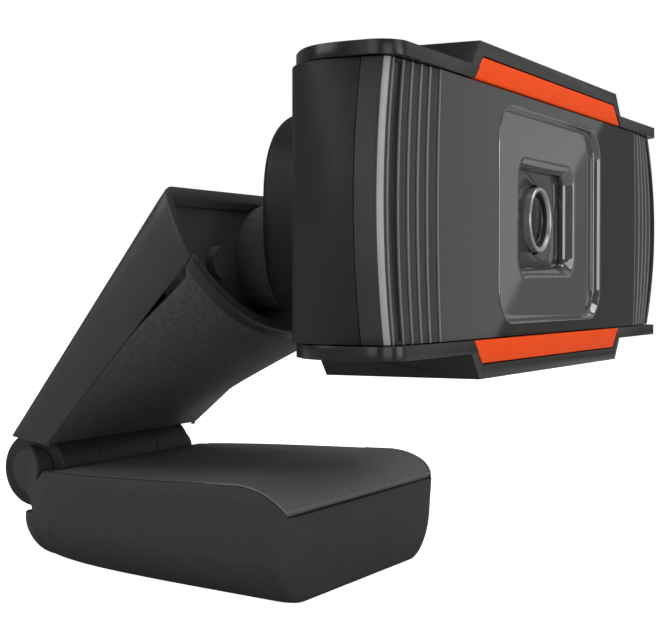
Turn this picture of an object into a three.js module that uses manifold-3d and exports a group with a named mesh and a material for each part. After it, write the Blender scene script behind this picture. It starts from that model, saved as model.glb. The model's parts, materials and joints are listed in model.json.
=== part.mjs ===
// Webcam on a folding clip stand: a wide camera head on a ball joint, a hollow arm and a hinged foot.
// Millimetres, +Z up, the lens looks towards -Y, and the origin is the middle of the foot's flat base.
import * as THREE from "three";
import { mergeVertices } from "three/addons/utils/BufferGeometryUtils.js";
import Module from "manifold-3d";

const wasm = await Module();
wasm.setup();

// ---------- driving dimensions ----------
const GAP = 0.2; // clearance between pieces that fit into each other
const LEAN = THREE.MathUtils.degToRad(-3.8); // the arm and head lean back from the foot

const FACE = { halfWidth: 28.6, halfHeight: 11.1, cornerX: 37.75, cornerY: 1.2, rearY: 16.2 };
const FACE_TAPER = 0.04; // how fast the ribbed ends fall back, in mm per mm
const FACE_TUCK = 0.35; // how far the ends fall back at top and bottom
const WALL = 1.4; // head casing wall
// How far the ribbed ends swell at mid-height, and where that dies away towards the back.
const BULGE = { inner: 0.6, outer: 2.1, fadeFrom: 2, fadeTo: 9 };
const RIBS = [28.6, 30.4, 31.9, 33.4, 34.9, 36.5];
const RIB_DEPTH = 0.4;
const PARTING_Y = 2.5; // front casing ends, rear casing starts a gap later

const CAP = { from: 11.2, to: 12.34, frontY: -0.3, halfWidth: 38.4, cornerRadius: 2.3, rearY: 16.5 };
const PLATE = { to: 14.64, base: 22.5, top: 20.53, frontY: -0.2, rearY: 14.7 };
const STRIP = { to: 13.29, base: 21.92, top: 19.67, backY: 1.5 };

const BEZEL = { halfX: 15.45, halfZ: 10.04, radius: 3.5, y: 0.8, depth: 1.1, flange: 0.9 };
const SURROUND = { halfX: 8.25, halfZ: 5.4, radius: 1.8, depth: 1.2, flange: 1.2 };
const LENS = { ring: 3.21, ringBore: 2.78, barrel: 3.1, bore: 2.3, frontY: 1.3, rearY: 8.3 };
const BOARD = { halfX: 24, halfZ: 8.6, y: 10.6, depth: 1.2 };
const BOARD_POST = { x: 20.5, radius: 1.9 };
const CASE_POST = { x: 27.5, radius: 2.2, rearY: 10.8, socket: 2.7 };
const SENSOR = { halfX: 3.6, halfZ: 3.1, frontY: 9.7 };
const HOLDER = { radius: 4.6, frontY: 4.4, half: 6.5, baseY: 8.6, rearY: 10.4 };

const BOSS = { halfX: 10.9, halfZ: 10.9, z: 0.7, power: 2.8, y: 27.3, wall: 1.3 };
const BALL = { y: 30.5, z: -3.5, radius: 3.6, liner: 0.9 };
const INLET = { x: 17, z: -4.5, bore: 1.7, neck: 2.4, flange: 3.2 };

const HINGE = {
  y: 17.8,
  z: 9.0,
  barrel: 3.99,
  pin: 1.2,
  pinEnd: 12.3,
  centre: 5.2,
  knuckleFrom: 5.9,
  knuckleTo: 12.5,
  washer: 3.1,
};
// Middle of the face from the hinge axis, along the arm's own axes.
const FACE_FROM_HINGE = { y: -54.14, z: 26.27 };

const ARM_WALL = 1.2;
const ARM_HALF_WIDTH = 14.7;
const ARM_FOOT = { frontY: -3.2, frontZ: 2.96, backY: 1.68, backZ: 3.75 }; // the arm's lower edges
const MOUTH_SLOPE = 0.378; // the mouth's plane: y = MOUTH_Y + MOUTH_SLOPE * z
const MOUTH_Y = -32.67;
const MOUTH = {
  bottomZ: 14.6,
  creaseX: 19.3,
  creaseZ: 22.5,
  sideX: 20.4,
  sideZ: 27.6,
  topX: 19.1,
  topZ: 29.55,
};
const CUP = { radius: 5.9, front: 1.2, depth: 6, plateFrom: 2.2, plateTo: 4 }; // from the ball's centre
const CUP_SCREW = { x: 10.5, head: 1.6, shank: 0.8, length: 3, below: 0.6 };

const FOOT = { frontY: -16.3, rearY: 18.2, halfWidth: 18.5, hingeHalfWidth: 13.15, cornerRadius: 4.8 };
const FOOT_TOP = { noseY: -15.7, noseZ: 9.4, y: -10.5, z: 11.5, rearZ: 9.3 };
const PAD = { thickness: 1.2, rearY: 12.8, edge: 0.6 }; // set in from the foot's sides by the edge
const EAR_RADIUS = 2.6;
const NOTCH_RADIUS = 4.45;
const BASE = { halfX: 12.3, frontY: -12.8, rearY: 10.5, depth: 2, radius: 2.5, cavityTo: 7.4 };
const FOOT_SCREW = { x: 8, post: 2.4, length: 6.2 };

const SCREW = { radius: 1.7, depth: 1.1, shank: 0.9, slotWidth: 0.44, slotDepth: 0.45 };
const PILOT = 1.05; // a screw's own hole in its post
const CLEAR_HOLE = 1.15;

const CURVE_STEPS = 8;

// ---------- solids ----------
function solidOf(geometry) {
  const bare = new THREE.BufferGeometry().setAttribute("position", geometry.getAttribute("position"));
  if (geometry.index) bare.setIndex(geometry.index);
  const merged = mergeVertices(bare, 1e-4);
  return new wasm.Manifold(
    new wasm.Mesh({
      numProp: 3,
      vertProperties: new Float32Array(merged.attributes.position.array),
      triVerts: new Uint32Array(merged.index.array),
    }),
  );
}

function geometryOf(solid) {
  const made = solid.getMesh();
  const geometry = new THREE.BufferGeometry();
  geometry.setAttribute("position", new THREE.BufferAttribute(made.vertProperties, 3));
  geometry.setIndex(new THREE.BufferAttribute(made.triVerts, 1));
  geometry.computeVertexNormals();
  return geometry;
}

const join = (first, ...rest) => rest.reduce((all, one) => all.add(one), first);
const cut = (first, ...rest) => rest.reduce((all, one) => all.subtract(one), first);

function pushed(shape, depth) {
  return new THREE.ExtrudeGeometry(shape, { depth, bevelEnabled: false, curveSegments: CURVE_STEPS });
}

// A shape drawn as (x, z) and pushed from y = from to y = to.
function alongY(shape, from, to) {
  return solidOf(pushed(shape, to - from).rotateX(Math.PI / 2).translate(0, to, 0));
}

// A shape drawn as (y, z) and pushed from x = from to x = to.
function alongX(shape, from, to) {
  const turn = new THREE.Matrix4().makeBasis(
    new THREE.Vector3(0, 1, 0),
    new THREE.Vector3(0, 0, 1),
    new THREE.Vector3(1, 0, 0),
  );
  return solidOf(pushed(shape, to - from).applyMatrix4(turn).translate(from, 0, 0));
}

// A shape drawn as (x, y) and pushed from z = from to z = to.
function alongZ(shape, from, to) {
  return solidOf(pushed(shape, to - from).translate(0, 0, from));
}

function box(x0, x1, y0, y1, z0, z1) {
  const geometry = new THREE.BoxGeometry(x1 - x0, y1 - y0, z1 - z0);
  return solidOf(geometry.translate((x0 + x1) / 2, (y0 + y1) / 2, (z0 + z1) / 2));
}

// A round bar along one axis: "x", "y" or "z".
function bar(axis, radius, from, to, centre = [0, 0, 0], sides = 24) {
  const geometry = new THREE.CylinderGeometry(radius, radius, to - from, sides);
  if (axis === "x") geometry.rotateZ(Math.PI / 2).translate((from + to) / 2, centre[1], centre[2]);
  if (axis === "y") geometry.translate(centre[0], (from + to) / 2, centre[2]);
  if (axis === "z") geometry.rotateX(Math.PI / 2).translate(centre[0], centre[1], (from + to) / 2);
  return solidOf(geometry);
}

// A turned piece about the Y axis, from a closed profile of [radius, y] points.
function turned(profile, x = 0, z = 0, sides = 32) {
  const points = [...profile, profile[0]].map(([radius, y]) => new THREE.Vector2(radius, y));
  const made = () => solidOf(new THREE.LatheGeometry(points, sides).translate(x, 0, z));
  const solid = made();
  if (solid.volume() > 0) return solid;
  points.reverse();
  return made();
}

// A skin over rings of points that match one to one, closed at both ends by flat fans.
function loft(rings) {
  const count = rings[0].length;
  const points = rings.flat();
  const triangles = [];
  for (let r = 0; r + 1 < rings.length; r++) {
    for (let i = 0; i < count; i++) {
      const a = r * count + i;
      const b = r * count + ((i + 1) % count);
      triangles.push(a, b, b + count, a, b + count, a + count);
    }
  }
  const total = (ring) => ring.reduce((sum, p) => sum.add(p), new THREE.Vector3());
  const middle = (ring) => total(ring).divideScalar(count);
  points.push(middle(rings[0]), middle(rings[rings.length - 1]));
  const last = (rings.length - 1) * count;
  for (let i = 0; i < count; i++) {
    const next = (i + 1) % count;
    triangles.push(points.length - 2, next, i, points.length - 1, last + i, last + next);
  }
  const geometry = new THREE.BufferGeometry().setFromPoints(points);
  geometry.setIndex(triangles);
  return solidOf(geometry);
}

// Moves every corner of a closed counter-clockwise outline inwards by a distance.
function inset(outline, distance) {
  const count = outline.length;
  return outline.map((point, i) => {
    const before = outline[(i + count - 1) % count];
    const after = outline[(i + 1) % count];
    const a = point.clone().sub(before).normalize();
    const b = after.clone().sub(point).normalize();
    const normal = new THREE.Vector2(-a.y - b.y, a.x + b.x).normalize();
    const stretch = Math.max(0.6, normal.dot(new THREE.Vector2(-a.y, a.x)));
    return point.clone().addScaledVector(normal, distance / stretch);
  });
}

function roundedRectangle(halfX, halfY, radius, x = 0, y = 0) {
  const shape = new THREE.Shape();
  shape.moveTo(x - halfX + radius, y - halfY);
  shape.absarc(x + halfX - radius, y - halfY + radius, radius, -Math.PI / 2, 0);
  shape.absarc(x + halfX - radius, y + halfY - radius, radius, 0, Math.PI / 2);
  shape.absarc(x - halfX + radius, y + halfY - radius, radius, Math.PI / 2, Math.PI);
  shape.absarc(x - halfX + radius, y - halfY + radius, radius, Math.PI, Math.PI * 1.5);
  return shape;
}

const polygon = (points) => new THREE.Shape(points.map(([a, b]) => new THREE.Vector2(a, b)));

// ---------- node helper ----------
const FINISH = {
  blackPlastic: { color: 0x2c2c2b, roughness: 0.45, metalness: 0 },
  texturedPlastic: { color: 0x30302f, roughness: 0.75, metalness: 0 },
  glossPlastic: { color: 0x4a4a4a, roughness: 0.2, metalness: 0 },
  bezelPlastic: { color: 0x777777, roughness: 0.2, metalness: 0.1 },
  darkPlastic: { color: 0x1a1a1a, roughness: 0.6, metalness: 0 },
  orange: { color: 0xec5020, roughness: 0.5, metalness: 0 },
  rubber: { color: 0x434343, roughness: 0.85, metalness: 0 },
  steel: { color: 0xb8b8b8, roughness: 0.3, metalness: 1 },
  nylon: { color: 0xd8d6cf, roughness: 0.5, metalness: 0 },
  glass: { color: 0x0c0d12, roughness: 0.05, metalness: 0 },
  board: { color: 0x1f5a34, roughness: 0.5, metalness: 0 },
  chip: { color: 0x16181a, roughness: 0.5, metalness: 0 },
};

function add(group, name, solid, finish) {
  const mesh = new THREE.Mesh(geometryOf(solid), new THREE.MeshStandardMaterial(FINISH[finish]));
  mesh.name = name;
  group.add(mesh);
}

// A pan-head screw along Y: the head's outer face is at y = head and the tip is further on, towards -Y.
function screw(x, head, length) {
  const { radius, depth, shank, slotWidth, slotDepth } = SCREW;
  const half = slotWidth / 2;
  const slot = box(x - radius, x + radius, head - slotDepth, head + 1, -half, half);
  const cross = box(x - half, x + half, head - slotDepth, head + 1, -radius, radius);
  const body = join(
    bar("y", radius, head - depth, head, [x, 0, 0], 16),
    bar("y", shank, head - length, head - depth + 0.1, [x, 0, 0], 12),
  );
  return cut(body, slot, cross);
}

// ---------- head casing ----------
// A point of the casing at height z: its ends swell out at mid-height and fall back at top and bottom.
function swollen(point, z) {
  const out = Math.abs(point.x);
  const reach = THREE.MathUtils.clamp((out - FACE.halfWidth) / (FACE.cornerX - FACE.halfWidth), 0, 1);
  const start = THREE.MathUtils.smoothstep(out, FACE.halfWidth - 2, FACE.halfWidth);
  const fade = 1 - THREE.MathUtils.smoothstep(point.y, BULGE.fadeFrom, BULGE.fadeTo);
  const amount = start * fade * THREE.MathUtils.lerp(BULGE.inner, BULGE.outer, reach);
  const height = Math.min(1, (z / FACE.halfHeight) ** 2);
  const x = point.x + Math.sign(point.x) * amount * (1 - height);
  return new THREE.Vector3(x, point.y + FACE_TUCK * reach * fade * height, z);
}

// The casing's side and back in plan, from its front corner round to the middle of the back.
function casingSide() {
  const path = new THREE.Path();
  path.moveTo(FACE.cornerX, FACE.cornerY);
  path.bezierCurveTo(38.3, 6.2, 38.2, 9, 33.5, 11.2);
  path.bezierCurveTo(27, 14.2, 18, FACE.rearY, 0, FACE.rearY);
  return path.getPoints(5);
}

const CORNER_START = new THREE.Vector2(37, 0.38);

// Half of the outer plan, from the middle of the face, with the ribs' grooves and the small round corner.
function outerHalf() {
  const front = RIBS.flatMap((x) => {
    const depth = FACE_TAPER * (x - FACE.halfWidth);
    return [new THREE.Vector2(x, depth - 0.05), new THREE.Vector2(x + 0.25, depth + RIB_DEPTH)];
  });
  const corner = new THREE.Path();
  corner.moveTo(CORNER_START.x, CORNER_START.y);
  corner.quadraticCurveTo(FACE.cornerX, 0.45, FACE.cornerX, FACE.cornerY);
  return [new THREE.Vector2(0, 0), ...front, ...corner.getPoints(4), ...casingSide().slice(1)];
}

function mirrored(half) {
  const inner = half.filter((p) => p.x > 1e-6);
  const left = inner.map((p) => new THREE.Vector2(-p.x, p.y)).reverse();
  return [half[0], ...inner, half[half.length - 1], ...left];
}

function casing(levels, plan) {
  return loft(levels.map((level) => plan.map((point) => swollen(point, level * FACE.halfHeight))));
}

const innerHalf = [new THREE.Vector2(0, 0), CORNER_START, ...casingSide()];
const outerCasing = casing([-1, -0.6, 0, 0.6, 1], mirrored(outerHalf()));
const innerCasing = casing([-1.2, -0.6, 0, 0.6, 1.2], inset(mirrored(innerHalf), WALL));
const tube = cut(outerCasing, innerCasing);

function superellipse(halfX, halfZ, power, z) {
  const points = [];
  for (let i = 0; i < 32; i++) {
    const angle = (i / 32) * 2 * Math.PI;
    const c = Math.cos(angle);
    const s = Math.sin(angle);
    const x = halfX * Math.sign(c) * Math.abs(c) ** (2 / power);
    points.push(new THREE.Vector2(x, z + halfZ * Math.sign(s) * Math.abs(s) ** (2 / power)));
  }
  return new THREE.Shape(points);
}

function frontHousing() {
  const shell = tube.intersect(box(-60, 60, -5, PARTING_Y, -20, 20));
  const window = alongY(roundedRectangle(BEZEL.halfX, BEZEL.halfZ, BEZEL.radius), -3, 6);
  const flange = BEZEL.flange + GAP;
  const seat = alongY(
    roundedRectangle(BEZEL.halfX + flange, BEZEL.halfZ + flange - 0.1, BEZEL.radius + flange),
    BEZEL.y,
    6,
  );
  const posts = [-1, 1].flatMap((side) => [
    bar("y", BOARD_POST.radius, 1, BOARD.y - GAP, [side * BOARD_POST.x, 0, 0], 16),
    bar("y", CASE_POST.radius, 1, CASE_POST.rearY, [side * CASE_POST.x, 0, 0], 16),
  ]);
  const pilots = [-1, 1].flatMap((side) => [
    bar("y", PILOT, 4, 12, [side * BOARD_POST.x, 0, 0], 12),
    bar("y", PILOT, 3.5, 12, [side * CASE_POST.x, 0, 0], 12),
  ]);
  return cut(join(cut(shell, window, seat), ...posts), ...pilots);
}

function rearHousing() {
  const shell = tube.intersect(box(-60, 60, PARTING_Y + GAP, 40, -20, 20));
  const outline = superellipse(BOSS.halfX, BOSS.halfZ, BOSS.power, BOSS.z);
  const bore = superellipse(BOSS.halfX - BOSS.wall, BOSS.halfZ - BOSS.wall, BOSS.power, BOSS.z);
  const underCap = box(-20, 20, 10, CAP.rearY + GAP, FACE.halfHeight, 20);
  const boss = cut(alongY(outline, FACE.rearY - WALL + 0.3, BOSS.y), underCap);
  const sockets = [-1, 1].map((side) => {
    return bar("y", CASE_POST.socket, 11.1, 13.2, [side * CASE_POST.x, 0, 0], 16);
  });
  const holes = [-1, 1].flatMap((side) => [
    bar("y", CLEAR_HOLE, 9, 20, [side * CASE_POST.x, 0, 0], 12),
    bar("y", 1.95, 12.2, 20, [side * CASE_POST.x, 0, 0], 16),
  ]);
  return cut(
    join(shell, boss, ...sockets),
    alongY(bore, 12, BOSS.y - BOSS.wall),
    bar("y", 1.65, 20, 30, [0, 0, BALL.z], 20),
    bar("y", INLET.neck + GAP, 12, 20, [INLET.x, 0, INLET.z], 20),
    ...holes,
  );
}

// The top cap with its raised plate; the bottom cap is its mirror image.
function cap() {
  const path = new THREE.Path();
  const radius = CAP.cornerRadius;
  path.moveTo(CAP.halfWidth - radius, CAP.frontY);
  path.absarc(CAP.halfWidth - radius, CAP.frontY + radius, radius, -Math.PI / 2, 0);
  path.bezierCurveTo(CAP.halfWidth, 6.2, 38.2, 7.9, 33.6, 10.8);
  path.bezierCurveTo(27, 14.2, 18, CAP.rearY, 0, CAP.rearY);
  const half = [new THREE.Vector2(0, CAP.frontY), ...path.getPoints(7)];
  const lid = alongZ(new THREE.Shape(mirrored(half)), CAP.from, CAP.to);
  const base = CAP.to - 0.1;
  const plate = alongY(
    polygon([[-PLATE.base, base], [PLATE.base, base], [PLATE.top, PLATE.to], [-PLATE.top, PLATE.to]]),
    PLATE.frontY,
    PLATE.rearY,
  );
  const stripSeat = alongY(stripShape(0.1), -3, STRIP.backY + GAP);
  const hollow = box(-19, 19, 2.9, 13.2, CAP.from - 1, PLATE.to - 1.1);
  return cut(join(lid, plate), stripSeat, hollow);
}

function stripShape(grow) {
  const bottom = CAP.from + (grow ? -1 : 0.05);
  const top = STRIP.to + grow;
  const wide = STRIP.base + grow + (grow ? 1.1 : 0);
  return polygon([[-wide, bottom], [wide, bottom], [STRIP.top + grow, top], [-STRIP.top - grow, top]]);
}

const upsideDown = (solid) => solid.rotate([0, 180, 0]);

function buildHead(head) {
  add(head, "front_housing", frontHousing(), "glossPlastic");
  add(head, "rear_housing", rearHousing(), "blackPlastic");
  const topCap = cap();
  const strip = alongY(stripShape(0), PLATE.frontY, STRIP.backY);
  add(head, "top_cap", topCap, "blackPlastic");
  add(head, "bottom_cap", upsideDown(topCap), "blackPlastic");
  add(head, "top_accent_strip", strip, "orange");
  add(head, "bottom_accent_strip", upsideDown(strip), "orange");

  const bezelOuter = roundedRectangle(
    BEZEL.halfX + BEZEL.flange,
    BEZEL.halfZ + BEZEL.flange - 0.1,
    BEZEL.radius + BEZEL.flange,
  );
  const surroundWindow = roundedRectangle(SURROUND.halfX, SURROUND.halfZ, SURROUND.radius);
  const bezel = alongY(bezelOuter, BEZEL.y + 0.1, BEZEL.y + BEZEL.depth);
  add(head, "lens_bezel", cut(bezel, alongY(surroundWindow, -1, 6)), "bezelPlastic");

  const flange = SURROUND.flange;
  const surroundOuter = roundedRectangle(
    SURROUND.halfX + flange,
    SURROUND.halfZ + flange,
    SURROUND.radius + flange,
  );
  const surroundY = BEZEL.y + BEZEL.depth + 0.1;
  const surround = alongY(surroundOuter, surroundY, surroundY + SURROUND.depth);
  const ringHole = bar("y", LENS.ring + 0.25, -1, 6, [0, 0, 0], 40);
  add(head, "lens_surround", cut(surround, ringHole), "darkPlastic");

  buildElectronics(head);
  for (const [side, name] of [[-1, "left"], [1, "right"]]) {
    add(head, `board_screw_${name}`, screw(side * BOARD_POST.x, 13.1, 7.5), "steel");
    add(head, `housing_screw_${name}`, screw(side * CASE_POST.x, 13.5, 9), "steel");
  }
  const grommetY = 15.95;
  const grommet = turned(
    [
      [INLET.bore, 12.3],
      [INLET.neck + 0.5, 12.3],
      [INLET.neck + 0.5, 13],
      [INLET.neck, 13],
      [INLET.neck, grommetY],
      [INLET.flange, grommetY],
      [INLET.flange - 0.5, grommetY + 1],
      [INLET.bore + 0.3, grommetY + 1.2],
      [INLET.bore, grommetY + 1],
    ],
    INLET.x,
    INLET.z,
    24,
  );
  add(head, "cable_inlet_grommet", grommet, "rubber");
  const nut = turned([[1.8, 23], [2.9, 23], [2.9, 25.2], [1.8, 25.2]], 0, BALL.z, 6);
  add(head, "ball_stud_nut", nut, "steel");
}

function buildElectronics(head) {
  const boardBack = BOARD.y + BOARD.depth;
  const boardHoles = [-1, 1].map((side) => bar("y", CLEAR_HOLE, 9, 13, [side * BOARD_POST.x, 0, 0], 12));
  const board = box(-BOARD.halfX, BOARD.halfX, BOARD.y, boardBack, -BOARD.halfZ, BOARD.halfZ);
  add(head, "main_board", cut(board, ...boardHoles), "board");

  const onBack = (x, z, halfX, halfZ, height) =>
    box(x - halfX, x + halfX, boardBack + 0.1, boardBack + 0.1 + height, z - halfZ, z + halfZ);
  add(head, "controller_chip", onBack(0, 3.4, 3.5, 3.5, 0.9), "chip");
  add(head, "memory_chip", onBack(-9.5, 2.5, 2.5, 2, 1.3), "chip");
  add(head, "crystal", onBack(9, 3, 1.6, 1.25, 0.8), "steel");
  const socket = box(-3.6, 3.6, boardBack + 0.9, boardBack + 5, -6.6, -3.9);
  add(head, "cable_connector", cut(onBack(0, -5.25, 4.2, 2, 4.2), socket), "nylon");
  const mic = bar("y", 2, BOARD.y - 1.7, BOARD.y - 0.1, [-14.5, 0, 4.5], 20);
  add(head, "microphone_capsule", mic, "steel");

  const holderTube = bar("y", HOLDER.radius, HOLDER.frontY, HOLDER.rearY - 0.1, [0, 0, 0], 32);
  const holderBase = box(-HOLDER.half, HOLDER.half, HOLDER.baseY, HOLDER.rearY, -HOLDER.half, HOLDER.half);
  const holderBore = bar("y", LENS.barrel + GAP, 0, 9.3, [0, 0, 0], 32);
  const sensorRoom = box(-4.2, 4.2, 9.2, 12, -3.7, 3.7);
  add(head, "lens_holder", cut(join(holderTube, holderBase), holderBore, sensorRoom), "darkPlastic");
  const sensorRear = BOARD.y - 0.1;
  const sensor = box(-SENSOR.halfX, SENSOR.halfX, SENSOR.frontY, sensorRear, -SENSOR.halfZ, SENSOR.halfZ);
  add(head, "image_sensor", sensor, "chip");
  add(head, "ir_filter", bar("y", 3, 8.7, 9.1, [0, 0, 0], 24), "glass");
}

function buildLens(lens) {
  const ringBack = LENS.frontY + 1.35;
  const ring = [
    [LENS.ringBore, LENS.frontY],
    [LENS.ring, LENS.frontY],
    [LENS.ring, ringBack],
    [LENS.ringBore, ringBack],
  ];
  add(lens, "focus_ring", turned(ring, 0, 0, 40), "steel");
  const nose = LENS.frontY + 0.3;
  const barrel = [
    [LENS.bore, nose],
    [2.6, nose],
    [2.6, ringBack + GAP],
    [LENS.barrel, ringBack + GAP],
    [LENS.barrel, LENS.rearY],
    [LENS.bore, LENS.rearY],
  ];
  add(lens, "lens_barrel", turned(barrel, 0, 0, 32), "darkPlastic");
  const glass = (front, dome, thickness) => [
    [0, front],
    [1.1, front + dome * 0.28],
    [2.1, front + dome],
    [2.1, front + dome + thickness],
    [0, front + dome + thickness],
  ];
  add(lens, "front_lens_element", solidOf(latheToAxis(glass(nose + 0.1, 0.5, 1.1))), "glass");
  add(lens, "rear_lens_element", solidOf(latheToAxis(glass(6.1, 0.4, 0.8))), "glass");
}

// A turned solid whose profile starts and ends on the axis.
function latheToAxis(profile) {
  return new THREE.LatheGeometry(profile.map(([radius, y]) => new THREE.Vector2(radius, y)), 32);
}

// ---------- ball joint ----------
function buildBallStud(group) {
  const seat = BOSS.y + 0.15;
  const { y, z, radius } = BALL;
  const ball = solidOf(new THREE.SphereGeometry(radius, 20, 12).rotateX(Math.PI / 2).translate(0, y, z));
  const stud = join(
    ball,
    bar("y", 1.7, seat, y - 2, [0, 0, z], 20),
    bar("y", 3.2, seat, seat + 0.5, [0, 0, z], 24),
    bar("y", 1.4, 22.2, seat + 0.1, [0, 0, z], 20),
  );
  add(group, "ball_stud", stud, "steel");
}

function buildLiner(group) {
  const inner = BALL.radius + 0.15;
  const outer = inner + BALL.liner;
  const arc = (radius, from, to) => {
    const points = [];
    for (let i = 0; i <= 6; i++) {
      const angle = THREE.MathUtils.lerp(from, to, i / 6);
      points.push([radius * Math.cos(angle), BALL.y + radius * Math.sin(angle)]);
    }
    return points;
  };
  const profile = [...arc(inner, -0.34, 1.2), ...arc(outer, 1.2, -0.28)];
  add(group, "socket_liner", turned(profile, 0, BALL.z, 20), "nylon");
}

// ---------- arm ----------
// A ring of the arm's hollow shape: 0 is its lower end at the hinge and 1 is its mouth.
function armRing(place, distance) {
  const mouthPath = new THREE.Path();
  mouthPath.moveTo(0, MOUTH.bottomZ);
  mouthPath.bezierCurveTo(8, MOUTH.bottomZ, 15.3, 15.9, MOUTH.creaseX, MOUTH.creaseZ);
  const flankPath = new THREE.Path();
  flankPath.moveTo(MOUTH.creaseX, MOUTH.creaseZ);
  flankPath.bezierCurveTo(20, 23.7, MOUTH.sideX, 25.2, MOUTH.sideX, MOUTH.sideZ);
  flankPath.quadraticCurveTo(MOUTH.sideX, 28.9, MOUTH.topX, MOUTH.topZ);
  const trough = mouthPath.getPoints(8);
  const flank = flankPath.getPoints(3).slice(1);
  const mouthHalf = [...trough, ...flank, new THREE.Vector2(0, MOUTH.topZ)];
  const low = new THREE.Vector2(ARM_FOOT.frontY, ARM_FOOT.frontZ);
  const step = new THREE.Vector2(ARM_FOOT.backY, ARM_FOOT.backZ).sub(low);
  const depth = step.length();
  step.normalize();
  const footHalf = [
    ...trough.map((p, i) => new THREE.Vector2((ARM_HALF_WIDTH * i) / (trough.length - 1), 0)),
    ...flank.map((p, i) => new THREE.Vector2(ARM_HALF_WIDTH, (depth * (i + 1)) / flank.length)),
    new THREE.Vector2(0, depth),
  ];
  const mouth = inset(mirrored(mouthHalf), distance);
  const foot = inset(mirrored(footHalf), distance);
  return foot.map((p, i) => {
    const start = new THREE.Vector3(p.x, low.x + step.x * p.y, low.y + step.y * p.y);
    const end = new THREE.Vector3(mouth[i].x, MOUTH_Y + MOUTH_SLOPE * mouth[i].y, mouth[i].y);
    return start.lerp(end, place);
  });
}

// Everything on the back side (sign 1) or front side (sign -1) of the line where the two arm shells meet.
function armSide(sign) {
  const low = new THREE.Vector2(ARM_FOOT.frontY, ARM_FOOT.frontZ);
  const high = new THREE.Vector2(MOUTH_Y + MOUTH_SLOPE * MOUTH.creaseZ, MOUTH.creaseZ);
  const along = high.clone().sub(low).normalize();
  const across = new THREE.Vector2(along.y, -along.x);
  const corner = (end, reach, side) => {
    const p = end.clone().addScaledVector(along, reach).addScaledVector(across, side);
    return [p.x, p.y];
  };
  const near = sign * 0.15;
  const points = [
    corner(low, -20, near),
    corner(high, 20, near),
    corner(high, 20, sign * 40),
    corner(low, -20, sign * 40),
  ];
  return alongX(polygon(sign > 0 ? points.reverse() : points), -30, 30);
}

function buildArm(arm) {
  const outer = loft([armRing(0, 0), armRing(1, 0)]);
  const cavity = loft([armRing(0.07, ARM_WALL), armRing(1.08, ARM_WALL)]);
  const shell = cut(outer, cavity, bar("x", HINGE.barrel + 0.3, -HINGE.centre - 0.6, HINGE.centre + 0.6));
  const knuckles = [-1, 1].map((side) => {
    const from = Math.min(side * HINGE.knuckleFrom, side * HINGE.knuckleTo);
    return bar("x", HINGE.barrel, from, from + HINGE.knuckleTo - HINGE.knuckleFrom, [0, 0, 0], 32);
  });
  const pinBore = bar("x", HINGE.pin + 0.15, -20, 20, [0, 0, 0], 20);
  const screwHoles = [-1, 1].map((side) => armScrew(side, 0.2));
  const back = join(shell.intersect(armSide(1)), ...knuckles);
  add(arm, "arm_back_shell", cut(back, pinBore), "blackPlastic");
  add(arm, "arm_front_trough", shell.intersect(armSide(-1)), "texturedPlastic");

  const room = loft([armRing(0.1, ARM_WALL + GAP), armRing(1.06, ARM_WALL + GAP)]);
  const ballY = BALL.y + FACE_FROM_HINGE.y;
  const ballZ = BALL.z + FACE_FROM_HINGE.z;
  const seat = BALL.radius + 0.15 + BALL.liner + 0.15;
  const cup = join(
    bar("y", CUP.radius, ballY - CUP.front, ballY + CUP.depth, [0, 0, ballZ], 24),
    box(-25, 25, ballY + CUP.plateFrom, ballY + CUP.plateTo, 0, 40),
  ).intersect(room);
  const sphere = new THREE.SphereGeometry(seat, 20, 12).rotateX(Math.PI / 2);
  const bore = solidOf(sphere.translate(0, ballY, ballZ));
  const lip = bar("y", seat - 0.15, ballY - 4, ballY, [0, 0, ballZ], 20);
  add(arm, "socket_cup", cut(cup, bore, lip, ...screwHoles), "darkPlastic");
  for (const [side, name] of [[-1, "left"], [1, "right"]]) {
    add(arm, `socket_screw_${name}`, armScrew(side, 0), "steel");
  }
  for (const [side, name] of [[-1, "left"], [1, "right"]]) {
    const from = Math.min(side * (HINGE.centre + 0.1), side * (HINGE.knuckleFrom - 0.1));
    const washer = bar("x", HINGE.washer, from, from + 0.5, [0, 0, 0], 28);
    add(arm, `friction_washer_${name}`, cut(washer, pinBore), "steel");
  }
  add(arm, "hinge_pin", bar("x", HINGE.pin, -HINGE.pinEnd, HINGE.pinEnd, [0, 0, 0], 20), "steel");
}

// The screws that hold the socket plate, driven from the mouth; grow widens them into their own holes.
function armScrew(side, grow) {
  const front = BALL.y + FACE_FROM_HINGE.y + CUP.plateFrom;
  const centre = [side * CUP_SCREW.x, 0, BALL.z + FACE_FROM_HINGE.z - CUP_SCREW.below];
  const seat = grow ? 0.001 : -0.099;
  return join(
    bar("y", CUP_SCREW.head + grow, front - 0.9, front + seat, centre, 16),
    bar("y", CUP_SCREW.shank + grow, front - 0.2, front + CUP_SCREW.length, centre, 12),
  );
}

// ---------- foot ----------
function footHalfWidth(y) {
  const along = Math.max(0, (y + 12) / 30.5);
  const waist = FOOT.hingeHalfWidth + (FOOT.halfWidth - FOOT.hingeHalfWidth) * (1 - along ** 4.65);
  const radius = 2.2;
  const fromFront = Math.min(radius, Math.max(0, y - FOOT.frontY));
  const corner = radius - Math.sqrt(radius ** 2 - (radius - fromFront) ** 2);
  return Math.max(waist, FOOT.hingeHalfWidth) - corner;
}

function footSection(y, edge = 0) {
  const w = footHalfWidth(y) - edge;
  const r = FOOT.cornerRadius;
  const corner = new THREE.Path().absarc(w - r, r, r, -Math.PI / 2, 0);
  const half = [...corner.getPoints(5), new THREE.Vector2(w, 20)];
  const left = half.map((p) => new THREE.Vector2(-p.x, p.y)).reverse();
  return [...half, ...left].map((p) => new THREE.Vector3(p.x, y, p.y)).reverse();
}

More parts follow.
